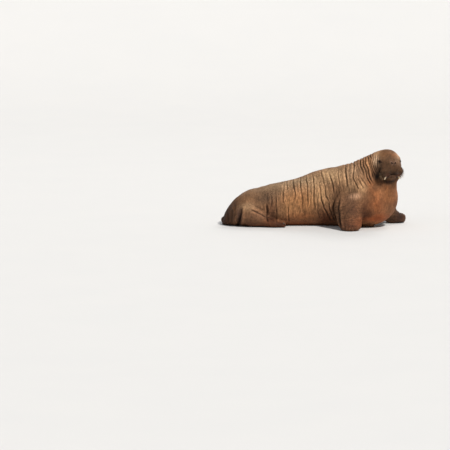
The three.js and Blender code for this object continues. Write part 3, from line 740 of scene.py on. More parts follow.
def set_nose_and_ears(points):
    """Hollows the nostrils inside their raised rims, the line between them and the ears."""
    left, forward, height = head_places(points).T
    shift = np.zeros(len(points))
    here = forward > -0.05
    for _, side in SIDES:
        reach = nostril_reach(points, side)
        shift -= here * NOSTRIL_DEPTH * (1 - smooth(0.40, 1.04, reach))
        shift += here * NOSTRIL_RIM * hill(reach - 1.38, 0.32)
    between = hill(left, 0.0050) * here
    shift -= NOSE_LINE * between * smooth(0.585, 0.600, height) * smooth(0.712, 0.690, height)
    points = points + shift[:, None] * HEAD_FORWARD
    for _, side in SIDES:
        ear = in_head(side * EAR[0], EAR[1], EAR[2])
        away = np.linalg.norm((points - ear) @ np.diag((1, 1, 0.6)), axis=1)
        dip = EAR_DEPTH * hill(away, EAR_HALF) - EAR_RIM * hill(away - EAR_RIM_AT, 0.006)
        points = points - side * dip[:, None] * HEAD_LEFT
    return points


def lip_line(points):
    """How near each point is to the line where the upper lip meets the lower one, 1 on it."""
    left, forward, height = head_places(points).T
    apart = upper_head(points) - lower_jaw(points)
    close = hill(apart, 0.0030) * smooth(-0.155, -0.115, forward)
    close *= 1 - 0.72 * smooth(0.022, 0.040, np.abs(left))
    return close * smooth(0.47, 0.49, height) * smooth(0.64, 0.61, height)


def pad_line(points):
    """How near each point is to the crease behind and under the whisker pads, 1 in it."""
    left, forward, height = head_places(points).T
    apart = blended(0.018, SNOUT, points) - blended(0.040, SKULL, points)
    close = hill(apart, 0.0070) * smooth(0.045, 0.085, np.abs(left))
    return close * smooth(-0.20, -0.16, forward) * smooth(0.670, 0.590, height)


# Folds: lines where the hide creases, as (x, z) places along the near flank, seen from the side

RUMP_LINE = [(-0.772, 0.215), (-0.776, 0.150), (-0.788, 0.080), (-0.800, -0.010)]
LEG_LINE = [(-0.501, 0.246), (-0.498, 0.152), (-0.493, 0.050)]
THIGH_LINE = [(-0.680, 0.196), (-0.631, 0.177), (-0.586, 0.155), (-0.542, 0.129), (-0.497, 0.102)]
FOLDS = [
    # places, depth, half width
    (LEG_LINE, 0.0207, 0.0078),
    ([(-0.403, 0.330), (-0.401, 0.161), (-0.400, 0.035)], 0.0138, 0.0058),
    ([(-0.452, 0.330), (-0.448, 0.200)], 0.0069, 0.0056),
    ([(-0.326, 0.435), (-0.323, 0.380), (-0.329, 0.240)], 0.0103, 0.0056),
    ([(-0.291, 0.462), (-0.278, 0.385)], 0.0092, 0.0054),
    ([(-0.227, 0.480), (-0.216, 0.430), (-0.208, 0.380), (-0.204, 0.270)], 0.0138, 0.006),
    ([(-0.270, 0.235), (-0.278, 0.138), (-0.262, 0.030)], 0.0103, 0.0056),
    ([(-0.150, 0.510), (-0.143, 0.416), (-0.134, 0.330), (-0.129, 0.170)], 0.0149, 0.006),
    ([(-0.091, 0.530), (-0.077, 0.445), (-0.074, 0.300), (-0.074, 0.200)], 0.0138, 0.006),
    ([(-0.015, 0.550), (-0.009, 0.467), (-0.006, 0.388), (-0.006, 0.270), (0.000, 0.160)], 0.0149, 0.006),
    ([(0.071, 0.585), (0.078, 0.550), (0.093, 0.495), (0.102, 0.439), (0.118, 0.333), (0.143, 0.260)],
     0.0149, 0.006),
    ([(0.046, 0.480), (0.062, 0.368), (0.075, 0.283), (0.094, 0.208), (0.143, 0.125), (0.192, 0.045)],
     0.0161, 0.0063),
    ([(0.150, 0.570), (0.161, 0.530), (0.180, 0.479), (0.190, 0.408), (0.198, 0.350)], 0.0126, 0.0058),
    ([(0.143, 0.270), (0.160, 0.190), (0.188, 0.120), (0.222, 0.045)], 0.0126, 0.0056),
    ([(0.205, 0.300), (0.196, 0.208), (0.206, 0.130), (0.238, 0.040)], 0.0138, 0.0063),
    ([(0.258, 0.339), (0.240, 0.231), (0.247, 0.122), (0.266, 0.020)], 0.0184, 0.009),
    ([(0.248, 0.600), (0.246, 0.520), (0.258, 0.420)], 0.0069, 0.0052),
    ([(0.322, 0.655), (0.320, 0.591), (0.326, 0.512), (0.338, 0.420)], 0.0172, 0.0069),
    ([(0.408, 0.685), (0.404, 0.603), (0.400, 0.530), (0.430, 0.440)], 0.0126, 0.0058),
    ([(0.366, 0.660), (0.362, 0.590)], 0.0069, 0.005),
    ([(0.478, 0.725), (0.476, 0.647), (0.506, 0.575)], 0.0138, 0.006),
    ([(0.441, 0.535), (0.504, 0.428)], 0.0092, 0.0054),
    ([(0.405, 0.504), (0.457, 0.417)], 0.0092, 0.0054),
    ([(0.470, 0.560), (0.535, 0.450)], 0.008, 0.0052),
    ([(0.505, 0.740), (0.510, 0.640), (0.546, 0.540), (0.583, 0.450)], 0.0138, 0.0058),
    ([(0.530, 0.760), (0.532, 0.680), (0.557, 0.582), (0.599, 0.470)], 0.0149, 0.0058),
    ([(0.552, 0.775), (0.556, 0.720), (0.574, 0.655), (0.609, 0.530)], 0.0138, 0.0056),
    ([(0.575, 0.785), (0.577, 0.720), (0.590, 0.650), (0.623, 0.550)], 0.0149, 0.0056),
    ([(0.598, 0.790), (0.600, 0.687), (0.630, 0.590)], 0.0138, 0.0054),
    ([(0.618, 0.780), (0.622, 0.680), (0.640, 0.606)], 0.0126, 0.0054),
    ([(0.640, 0.750), (0.645, 0.680), (0.652, 0.625)], 0.0103, 0.0049),
    (THIGH_LINE, 0.0103, 0.0067),
    ([(-0.640, 0.232), (-0.580, 0.205), (-0.530, 0.170)], 0.0057, 0.009),
    (RUMP_LINE, 0.030, 0.0150),
    ([(-0.861, 0.190), (-0.871, 0.030)], 0.006, 0.0100),
    ([(-0.829, 0.240), (-0.840, 0.090)], 0.005, 0.0100),
    ([(-0.900, 0.150), (-0.905, 0.030)], 0.0057, 0.0101),
]


def away_from_line(points, line):
    """Distance to a line of places in the side view, and how far along it the nearest one is."""
    line = np.array(line)
    best = np.full(len(points), 9.0)
    along = np.zeros(len(points))
    lengths = np.linalg.norm(np.diff(line, axis=0), axis=1)
    before = 0.0
    for a, b, length in zip(line[:-1], line[1:], lengths):
        way = (b - a) / length
        t = np.clip((points - a) @ way, 0, length)
        away = np.linalg.norm(points - a - t[:, None] * way, axis=1)
        closer = away < best
        best = np.where(closer, away, best)
        along = np.where(closer, (before + t) / lengths.sum(), along)
        before += length
    return best, along


def far_side_folds():
    """The far flank has folds of the same kind at other places."""
    random = np.random.default_rng(5270)
    folds = []
    for x in np.arange(-0.42, 0.30, 0.050):
        x = x + random.uniform(-0.012, 0.012)
        top = float(BACK_HEIGHT(x)) * random.uniform(0.85, 1.0)
        low = top * random.uniform(0.10, 0.55)
        lean = random.uniform(-0.02, 0.03) + 0.06 * max(0.0, x)
        line = [(x, top), (x + 0.3 * lean, (top + low) / 2), (x + lean, low)]
        folds.append((line, random.uniform(0.007, 0.012), random.uniform(0.0045, 0.0060)))
    for i in range(7):
        x = 0.39 + 0.036 * i
        folds.append(([(x, 0.70 + 0.012 * i), (x + 0.03, 0.60), (x + 0.07, 0.46)], 0.010, 0.0052))
    folds += [
        (RUMP_LINE, 0.028, 0.0140),
        (LEG_LINE, 0.014, 0.0070),
        (THIGH_LINE, 0.009, 0.0060),
    ]
    return folds


def wandered(points):
    """Places in the side view, shifted a little so that no fold runs dead straight."""
    wander = 0.007 * noise(points, (8, 8, 15), 3) + 0.0022 * noise(points, (32, 32, 42), 4)
    return np.column_stack((points[:, 0] + wander, points[:, 2] + 0.5 * wander))


FLANKS = ((-1, FOLDS), (1, far_side_folds()))
SWELL, SWELL_AT, SWELL_HALF = 0.30, 2.5, 1.4
DARKEST = 0.009


def folds_by(seen, facing, reach, turned):
    """Each fold, with the points near its line's box on the flank that it belongs to."""
    for side, folds in FLANKS:
        for line, depth, width in folds:
            low, high = np.min(line, axis=0) - reach, np.max(line, axis=0) + reach
            close = np.all((seen > low) & (seen < high), axis=1) & (side * facing > turned)
            yield side, line, depth, width, close


def fold_shape(points, facing):
    """How far each point moves out for the folds, how deep in one it is, and how far up an edge: the last
    two set the painted shade in the fold and the painted highlight beside it.
    """
    out, deep, proud = np.zeros((3, len(points)))
    seen = wandered(points)
    for side, line, depth, width, close in folds_by(seen, facing, 0.05, -0.25):
        away, along = away_from_line(seen[close], line)
        fade = np.minimum(smooth(-0.02, 0.16, along), smooth(1.02, 0.84, along))
        fade = fade * smooth(-0.25, 0.10, side * facing[close])
        fade = fade * (0.84 + 0.30 * noise(points[close], (10, 10, 24), 2))
        groove = hill(away, width) * fade
        swell = hill(away - SWELL_AT * width, SWELL_HALF * width) * fade
        out[close] += depth * (SWELL * swell - groove)
        # Deeper folds get more painted shade in the groove and more painted highlight on the swell
        darkness = min(1.0, depth / DARKEST)
        deep[close] = np.maximum(deep[close], groove * darkness)
        proud[close] = np.maximum(proud[close], swell * darkness)
    return out, deep, proud


def near_folds(points, facing, reach):
    """Whether each point is within a reach of a fold on its own flank."""
    seen = wandered(points)
    near = np.zeros(len(points), bool)
    for _, line, _, _, close in folds_by(seen, facing, reach, -0.2):
        close[close] = away_from_line(seen[close], line)[0] < reach
        near |= close
    return near


PLEAT, PLEAT_DEPTH, PLEAT_HALF = 0.027, 0.0042, 0.0052


def pleats(points, facing):
    """Fine upright pleats between the folds, which lean towards the armpit at its side."""
    x, z = points[:, 0], points[:, 2]
    lean = 0.17 * smooth(-0.05, 0.16, x) * (0.52 - z) + 0.20 * smooth(0.40, 0.62, x) * (0.60 - z)
    q = (x - lean + 0.014 * noise(points, (6, 6, 5), 8) + 0.004 * noise(points, (26, 26, 18), 9)) / PLEAT
    cell = np.floor(q)
    apart = (q - cell - 0.5) * PLEAT
    strength = smooth(-0.25, 0.55, noise(np.column_stack((cell * 3.7, x * 0, z)), (1, 1, 5.0), 10))
    side = smooth(0.15, 0.65, np.abs(facing))
    where = smooth(-0.66, -0.50, x) * smooth(0.72, 0.60, x) * smooth(0.03, 0.14, z)
    groove = hill(apart, PLEAT_HALF) * strength * side * where
    return PLEAT_DEPTH * (0.25 - groove), groove


def ring_share(points):
    """1 on the arms and flippers, where the wrinkles run across the limb."""
    share = np.zeros(len(points))
    for flipper in FLIPPERS.values():
        share = np.maximum(share, 1 - smooth(0.004, 0.030, flipper(points)))
    for form in BODY:
        if isinstance(form, Limb) and form.radii[0] < ARM_ROOT + 0.001 and form.start[0] > 0:
            share = np.maximum(share, 1 - smooth(0.002, 0.030, form(points)))
    return share * smooth(0.34, 0.24, points[:, 2])


def streak_share(points):
    """How far the hide is streaked from the back down: most on the flanks, least on the chest."""
    x, z = points[:, 0] - SHIFT[0], points[:, 2]
    flank = smooth(-0.62, -0.46, x) * smooth(0.56, 0.36, x)
    neck = smooth(0.36, 0.46, x) * smooth(0.66, 0.60, x) * smooth(0.40, 0.52, z)
    return 0.22 + 0.78 * np.maximum(flank * smooth(0.03, 0.14, z), neck)


def pad_share(points):
    """1 on the whisker pads."""
    share = np.zeros(len(points))
    for _, side in SIDES:
        pad = head_egg(side * PAD[0], PAD[1], PAD[2], PAD_RADII)
        share = np.maximum(share, 1 - smooth(0.001, 0.008, pad(points)))
    return share


RING, RING_DEPTH, RING_HALF = 0.013, 0.0020, 0.0028


def rings(points, share):
    """Fine wrinkles across the arms and hands."""
    q = points[:, 2] + 0.006 * noise(points, (14, 14, 14), 12) + 0.002 * noise(points, (60, 60, 60), 13)
    cell = np.floor(q / RING)
    apart = q - (cell + 0.5) * RING
    strength = smooth(-0.4, 0.5, noise(np.column_stack((points[:, :2], cell * 2.9)), (9, 9, 1), 14))
    groove = hill(apart, RING_HALF) * strength * share * smooth(0.035, 0.07, points[:, 2])
    return RING_DEPTH * (0.25 * share - groove), groove


# Colour: the hide's ground tone and the patches over it, set until renders came near

GROUND = (122, 88, 62)
# Some patches are painted shade and some painted highlight; each such one is marked below
PATCHES = [
    # place, reach, colour, strength
    # The rump's own dark brown, painted darker still as shade on the hind end
    ((-0.95, 0.05, 0.12), (0.15, 0.40, 0.27), (43, 21, 9), 0.97),
    ((-0.84, -0.05, 0.27), (0.06, 0.16, 0.12), (75, 46, 23), 0.80),
    # Painted highlight along the top of the thigh
    ((-0.71, -0.12, 0.215), (0.08, 0.12, 0.040), (150, 119, 89), 0.85),
    ((-0.62, -0.16, 0.11), (0.15, 0.14, 0.07), (104, 73, 53), 0.85),
    ((-0.70, -0.14, 0.01), (0.22, 0.20, 0.050), (44, 27, 18), 0.88),
    # Painted shadow in the gap between the rump and the thigh
    ((-0.790, -0.12, 0.11), (0.030, 0.12, 0.13), (34, 27, 28), 0.80),
    ((-0.48, 0.05, 0.42), (0.38, 0.30, 0.09), (138, 112, 86), 0.85),
    ((-0.50, -0.10, 0.32), (0.13, 0.16, 0.10), (80, 61, 46), 0.84),
    # Painted shade in the recess between the flank and the thigh
    ((-0.45, -0.10, 0.16), (0.055, 0.12, 0.12), (88, 55, 37), 0.75),
    # Painted shadow in the recess above the hind flipper
    ((-0.445, -0.16, 0.085), (0.072, 0.14, 0.044), (24, 8, 3), 0.96),
    ((0.36, -0.10, 0.22), (0.02, 0.05, 0.10), (60, 36, 26), 0.60),
    ((-0.50, 0.35, 0.25), (0.30, 0.18, 0.20), (122, 92, 68), 0.50),
    ((-0.24, -0.10, 0.25), (0.11, 0.14, 0.14), (154, 110, 72), 0.85),
    ((-0.08, -0.10, 0.26), (0.11, 0.14, 0.13), (145, 99, 61), 0.80),
    ((0.05, -0.10, 0.36), (0.11, 0.16, 0.12), (174, 136, 98), 0.70),
    ((-0.16, 0.02, 0.48), (0.26, 0.20, 0.06), (150, 126, 98), 0.75),
    ((0.17, -0.04, 0.56), (0.16, 0.22, 0.08), (186, 152, 114), 0.75),
    ((-0.20, -0.12, 0.01), (0.40, 0.30, 0.060), (118, 60, 29), 0.88),
    ((-0.12, -0.12, 0.11), (0.15, 0.20, 0.05), (146, 90, 54), 0.70),
    ((-0.34, -0.16, 0.03), (0.12, 0.11, 0.046), (46, 27, 20), 0.92),
    ((-0.34, 0.40, 0.03), (0.12, 0.11, 0.046), (46, 27, 20), 0.92),
    ((0.12, -0.10, 0.07), (0.11, 0.14, 0.12), (76, 35, 18), 0.85),
    ((0.22, -0.14, 0.25), (0.055, 0.16, 0.14), (84, 58, 40), 0.80),
    # Painted shade behind the near arm, low on the flank
    ((0.29, -0.24, 0.08), (0.065, 0.16, 0.17), (38, 20, 13), 0.90),
    ((0.24, 0.45, 0.08), (0.55, 0.20, 0.16), (84, 50, 32), 0.70),
    ((0.37, -0.24, 0.46), (0.10, 0.14, 0.08), (166, 130, 96), 0.75),
    ((0.35, -0.28, 0.34), (0.080, 0.14, 0.09), (84, 58, 41), 0.82),
    ((0.39, -0.36, 0.20), (0.11, 0.14, 0.11), (70, 44, 30), 0.91),
    ((0.37, -0.45, 0.04), (0.17, 0.18, 0.08), (70, 44, 31), 0.92),
    ((0.422, -0.32, 0.345), (0.046, 0.10, 0.032), (212, 166, 132), 0.80),
    ((0.50, -0.30, 0.43), (0.045, 0.10, 0.070), (184, 146, 108), 0.60),
    ((0.39, -0.12, 0.60), (0.10, 0.20, 0.08), (172, 138, 107), 0.78),
    ((0.60, -0.38, 0.41), (0.08, 0.14, 0.09), (118, 70, 40), 0.76),
    ((0.77, -0.34, 0.36), (0.11, 0.16, 0.11), (142, 88, 51), 0.75),
    ((0.745, -0.36, 0.445), (0.095, 0.14, 0.045), (80, 46, 25), 0.84),
    ((0.65, -0.38, 0.24), (0.14, 0.18, 0.10), (120, 66, 38), 0.75),
    ((0.70, -0.34, 0.09), (0.22, 0.24, 0.06), (168, 80, 32), 0.85),
    # Painted shadow beside the near arm, on the chest
    ((0.52, -0.34, 0.15), (0.032, 0.14, 0.14), (66, 38, 26), 0.85),
    ((0.87, -0.10, 0.34), (0.09, 0.20, 0.20), (150, 94, 56), 0.60),
    ((0.90, 0.22, 0.07), (0.16, 0.16, 0.12), (46, 29, 24), 0.95),
    ((0.56, -0.22, 0.70), (0.05, 0.12, 0.09), (168, 123, 86), 0.66),
    ((0.640, -0.26, 0.73), (0.030, 0.10, 0.070), (222, 186, 152), 0.88),
    ((0.590, -0.28, 0.56), (0.040, 0.10, 0.085), (142, 100, 70), 0.60),
    ((0.72, -0.14, 0.80), (0.12, 0.18, 0.05), (104, 70, 45), 0.87),
    ((0.66, -0.16, 0.785), (0.045, 0.10, 0.040), (190, 150, 110), 0.70),
    # Painted highlight along the edge of the crown
    ((0.868, -0.20, 0.765), (0.034, 0.14, 0.050), (222, 180, 146), 0.85),
]
FACE_PATCHES = [
    # left, ahead of the nose and height of the place, reach, colour, strength
    ((0.0, -0.07, 0.640), (0.150, 0.12, 0.085), (28, 15, 8), 0.98),
    ((0.0, -0.06, 0.735), (0.100, 0.08, 0.034), (92, 66, 47), 0.80),
    # Dark fur with painted shadow of the muzzle, on the near cheek beside the pad
    ((-0.110, -0.11, 0.640), (0.036, 0.07, 0.055), (30, 19, 12), 0.88),
    # Painted shadow in the hollow under the near cheek, behind the pad
    ((-0.134, -0.140, 0.562), (0.050, 0.11, 0.076), (12, 5, 2), 0.99),
    # Painted shade in the hollow behind the far pad
    ((0.134, -0.140, 0.562), (0.044, 0.10, 0.068), (26, 14, 9), 0.90),
    # Painted shadow under the chin
    ((0.0, -0.10, 0.508), (0.115, 0.09, 0.030), (20, 9, 4), 0.96),
    ((0.0, -0.05, 0.590), (0.125, 0.08, 0.030), (28, 14, 6), 0.90),
    ((0.0, -0.03, 0.560), (0.040, 0.05, 0.017), (60, 41, 30), 0.80),
    ((-0.066, -0.02, 0.566), (0.026, 0.04, 0.020), (104, 54, 33), 0.80),
    ((0.066, -0.02, 0.566), (0.026, 0.04, 0.020), (110, 60, 36), 0.80),
    ((0.0, -0.02, 0.700), (0.036, 0.04, 0.018), (84, 62, 51), 0.55),
    ((0.0, -0.16, 0.800), (0.100, 0.09, 0.040), (97, 64, 40), 0.84),
    ((0.05, -0.10, 0.775), (0.050, 0.08, 0.020), (132, 84, 52), 0.60),
]


ROUND_EYE, LID_EDGE = (40, 27, 21), (20, 12, 10)
# The tones inside the nostrils' and ears' hollows are painted shade
ROUND_NOSTRIL, NOSTRIL_SHADE, EAR_SHADE = (122, 98, 86), (12, 7, 6), (26, 16, 12)
DARK_MOTTLE, PALE_MOTTLE = (74, 40, 24), (172, 104, 60)
# Painted shade: the tones of the mouth line and pad creases, and of the folds
LIP_AND_PAD_SHADE, CREASE_SHADE = (16, 8, 6), (30, 15, 8)


def paint(points, deep, proud, shadow):
    """The hide's tone at each point: patches, some of them painted shade and highlight, mottles, dark
    lids, painted shade in the nostrils, ears, mouth line and creases, and painted highlight on the
    creases' edges.
    """
    colour = np.tile(linear(*GROUND), (len(points), 1))
    head = head_places(points)
    seen = points + 0.016 * np.column_stack([noise(points, (12, 12, 12), k) for k in (20, 21, 22)])
    for spots, where in ((PATCHES, seen), (FACE_PATCHES, head_places(seen))):
        for place, reach, tone, strength in spots:
            away = np.linalg.norm((where - np.array(place)) / np.array(reach), axis=1)
            colour = over(colour, tone, strength * hill(away, 1))

    def shade(share, tone):
        nonlocal colour
        colour = over(colour, tone, np.clip(share, 0, 1))

    for eye in EYES:
        _, _, ahead, reach = eye.opening(points)
        here = smooth(-0.010, 0.004, ahead) * (np.linalg.norm(points - eye.centre, axis=1) < 0.06)
        shade(0.85 * (1 - smooth(1.2, 3.0, reach)) * here, ROUND_EYE)
        shade(0.95 * (1 - smooth(0.98, 1.10, reach)) * here, LID_EDGE)
    for _, side in SIDES:
        reach = nostril_reach(points, side)
        here = head[:, 1] > -0.06
        shade(0.50 * hill(reach - 1.5, 0.34) * here, ROUND_NOSTRIL)
        # Painted shade inside each nostril's hollow
        shade(0.97 * (1 - smooth(0.78, 1.10, reach)) * here, NOSTRIL_SHADE)
        ear = in_head(side * EAR[0], EAR[1], EAR[2])
        # Painted shade in each ear's hollow
        shade(0.9 * hill(np.linalg.norm(points - ear, axis=1), 0.009), EAR_SHADE)
    chest = smooth(0.44, 0.56, points[:, 0]) * smooth(0.10, -0.05, points[:, 1])
    chest *= smooth(0.56, 0.44, points[:, 2])
    mottle = noise(seen, (15, 15, 13), 31)
    shade(0.42 * chest * smooth(0.10, 0.75, mottle), DARK_MOTTLE)
    shade(0.26 * chest * smooth(-0.15, -0.80, mottle), PALE_MOTTLE)
    # Painted shade along the mouth line and in the crease behind the whisker pads
    shade(0.85 * shadow, LIP_AND_PAD_SHADE)
    # Painted highlight on the swell beside each fold
    colour *= (1 + 0.50 * proud)[:, None]
    # Painted shade in the folds, pleats and wrinkles
    shade(0.95 * deep, CREASE_SHADE)
    return colour


# Materials


class Finish:
    """A material being made: its shader and the patterns that feed it."""

    def __init__(self, name, **settings):
        self.material = bpy.data.materials.new(name)
        self.material.use_nodes = True
        self.nodes = self.material.node_tree.nodes
        self.shader = self.nodes["Principled BSDF"]
        for socket, value in settings.items():
            self.shader.inputs[socket.replace("_", " ")].default_value = value

    def feed(self, socket, source):
        """Lets a pattern set one of the shader's values."""
        self.link(source, self.shader.inputs[socket])

    def link(self, source, socket):
        self.material.node_tree.links.new(source, socket)

    def texture(self, kind, scale, stretch=(1, 1, 1), **settings):
        """A procedural texture on the piece's own place, stretched along its axes."""
        coordinates = self.nodes.new("ShaderNodeTexCoord")
        mapping = self.nodes.new("ShaderNodeMapping")
        mapping.inputs["Scale"].default_value = stretch
        pattern = self.nodes.new(kind)
        pattern.inputs["Scale"].default_value = scale
        for name, value in settings.items():
            pattern.inputs[name].default_value = value
        self.link(coordinates.outputs["Object"], mapping.inputs["Vector"])
        self.link(mapping.outputs["Vector"], pattern.inputs["Vector"])
        return pattern

    def grain(self, scale, stretch=(1, 1, 1), detail=3.0, roughness=0.6):
        """A noise over the piece's own place, as a value."""
        pattern = self.texture("ShaderNodeTexNoise", scale, stretch, Detail=detail, Roughness=roughness)
        return pattern.outputs["Fac"]

    def cells(self, scale, stretch=(1, 1, 1), randomness=1.0, feature="F1"):
        """A pattern of cells, as the distance to their middles or edges."""
        pattern = self.texture("ShaderNodeTexVoronoi", scale, stretch, Randomness=randomness)
        pattern.feature = feature
        return pattern.outputs["Distance"]

    def ramp(self, source, stops):
        """A source's value read through stops of (place, value or colour)."""
        node = self.nodes.new("ShaderNodeValToRGB")
        elements = node.color_ramp.elements
        while len(elements) < len(stops):
            elements.new(0.5)
        for element, (place, value) in zip(elements, stops):
            element.position = place
            element.color = (*value, 1) if isinstance(value, tuple) else (value, value, value, 1)
        self.link(source, node.inputs["Fac"])
        return node.outputs["Color"]

    def mix(self, mode, share, first, second):
        """Two colours, each a socket or a tuple, mixed by a share that is a number or a socket."""
        node = self.nodes.new("ShaderNodeMix")
        node.data_type, node.blend_type = "RGBA", mode
        for value, socket in ((share, node.inputs[0]), (first, node.inputs[6]), (second, node.inputs[7])):
            if isinstance(value, float):
                socket.default_value = value
            elif isinstance(value, tuple):
                socket.default_value = (*value, 1)
            else:
                self.link(value, socket)
        return node.outputs[2]

    def times(self, colour, source, stops, share=1.0):
        """A colour made lighter and darker by a source read through stops."""
        return self.mix("MULTIPLY", share, colour, self.ramp(source, stops))

    def painted(self):
        """The tone painted on the mesh."""
        tone = self.nodes.new("ShaderNodeVertexColor")
        tone.layer_name = "Tone"
        return tone.outputs["Color"]

    def value_of(self, name):
        """A value kept on the mesh under a name."""
        attribute = self.nodes.new("ShaderNodeAttribute")
        attribute.attribute_name = name
        return attribute.outputs["Fac"]

    def between(self, source, low, high):
        """A source's value spread from a low value to a high one."""
        node = self.nodes.new("ShaderNodeMapRange")
        node.inputs["To Min"].default_value = low
        node.inputs["To Max"].default_value = high
        self.link(source, node.inputs["Value"])
        return node.outputs["Result"]

    def bumps(self, *layers):
        """Lets layers of (height, strength, distance) shape the surface, one over another."""
        before = None
        for height, strength, distance in layers:
            node = self.nodes.new("ShaderNodeBump")
            node.inputs["Strength"].default_value = strength
            node.inputs["Distance"].default_value = distance
            self.link(height, node.inputs["Height"])
            if before:
                self.link(before, node.inputs["Normal"])
            before = node.outputs["Normal"]
        self.feed("Normal", before)

    def marked(self):
        """The painted tone with the hide's markings over it: the skin and the coat share them."""
        blotch = self.grain(11, (1, 1, 0.7), 5.0, 0.62)
        fleck = self.grain(62, (1, 1, 0.5), 5.0, 0.68)
        colour = self.times(self.painted(), blotch, ((0.28, 0.66), (0.50, 1.0), (0.74, 1.34)))
        return self.times(colour, fleck, ((0.28, 0.62), (0.50, 1.0), (0.74, 1.40))), fleck


def hide_material():
    """Short flat fur over creased hide: streaks run down the flanks, and round the limbs."""
    hide = Finish("walrus_hide", Roughness=0.75, Specular_IOR_Level=0.14)
    colour, fleck = hide.marked()
    down = hide.grain(130, (1, 0.5, 0.17), 4.0, 0.62)
    round_limb = hide.grain(100, (0.22, 0.22, 1), 4.0, 0.62)
    hair = hide.grain(420, (0.30, 0.8, 0.5))
    streak = hide.mix("MIX", hide.value_of("Ring"), down, round_limb)
    streak_stops = ((0.33, 0.55), (0.50, 1.0), (0.68, 1.50))
    colour = hide.times(colour, streak, streak_stops, hide.value_of("Streak"))
    hide.feed("Base Color", hide.times(colour, hair, ((0.30, 0.80), (0.55, 1.0), (0.75, 1.20))))
    hide.feed("Roughness", hide.between(fleck, 0.55, 0.88))
    cracks = hide.cells(95, (0.9, 0.9, 0.6), feature="DISTANCE_TO_EDGE")
    low = hide.ramp(cracks, ((0.0, 0.0), (0.14, 0.8), (0.5, 1.0)))
    pits = hide.ramp(hide.cells(112, randomness=0.55), ((0.0, 0.0), (0.30, 0.75), (0.60, 1.0)))
    pits = hide.mix("MIX", hide.value_of("Pad"), (1.0, 1.0, 1.0), pits)
    hide.bumps(
        (low, 0.40, 0.0018), (pits, 0.60, 0.0030), (streak, 0.70, 0.0070), (fleck, 0.45, 0.0050),
        (hair, 0.60, 0.0016))
    return hide.material


def coat_material():
    """The same markings on the tufts, with no texture of their own."""
    coat = Finish("walrus_coat", Roughness=0.62, Specular_IOR_Level=0.16)
    coat.feed("Base Color", coat.marked()[0])
    return coat.material


def eye_material():
    """A dark eyeball under a clear wet coat."""
    eye = Finish(
        "walrus_eye", Roughness=0.06, Specular_IOR_Level=0.05, Coat_Weight=0.24, Coat_Roughness=0.03)
    fibre = eye.grain(900, detail=2.0, roughness=0.5)
    eye.feed("Base Color", eye.times(eye.painted(), fibre, ((0.3, 0.75), (0.7, 1.25))))
    return eye.material


def tusk_material():
    """Ivory with a fine grain along the tusk."""
    ivory = Finish(
        "tusk_ivory", Roughness=0.34, Subsurface_Weight=0.12, Subsurface_Radius=(0.004, 0.003, 0.002))
    lines = ivory.grain(420, (1, 1, 0.16), 4.0)
    stops = ((0.30, 0.80), (0.55, 1.0), (0.75, 1.06))
    ivory.feed("Base Color", ivory.times(ivory.painted(), lines, stops))
    ivory.bumps((lines, 0.25, 0.0006))
    return ivory.material


def claw_material():
    """Dark horn, paler in lines along the nail."""
    horn = Finish("claw_horn", Roughness=0.42)
    lines = horn.grain(600, (0.4, 1, 1), roughness=0.5)
    stops = ((0.32, tuple(linear(44, 32, 26))), (0.62, tuple(linear(96, 76, 60))))
    horn.feed("Base Color", horn.ramp(lines, stops))
    horn.bumps((lines, 0.3, 0.0005))
    return horn.material


def bristle_material():
    """The bristles' painted tone with small specks."""
    bristle = Finish("bristle", Roughness=0.38)
    specks = bristle.grain(300, detail=2.0, roughness=0.5)
    bristle.feed("Base Color", bristle.times(bristle.painted(), specks, ((0.3, 0.86), (0.7, 1.10))))
    return bristle.material


def floor_material():
    """A pale floor with faint clouds."""
    floor = Finish("pale_floor", Roughness=0.85)
    clouds = floor.grain(1.3, roughness=0.5)
    stops = ((0.3, (0.617, 0.624, 0.632)), (0.7, (0.627, 0.632, 0.638)))
    floor.feed("Base Color", floor.ramp(clouds, stops))
    return floor.material


def finish_piece(piece, material):
    piece.data.materials.clear()
    piece.data.materials.append(material)
    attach(piece, "root")


def mesh_piece(name, points, faces):
    mesh = bpy.data.meshes.new(name)
    mesh.from_pydata(points.tolist(), [], faces)
    mesh.update()
    piece = bpy.data.objects.new(name, mesh)
    bpy.context.collection.objects.link(piece)
    return piece


def shade_smooth(piece):
    choose(piece)
    bpy.ops.object.shade_smooth()


# Operators


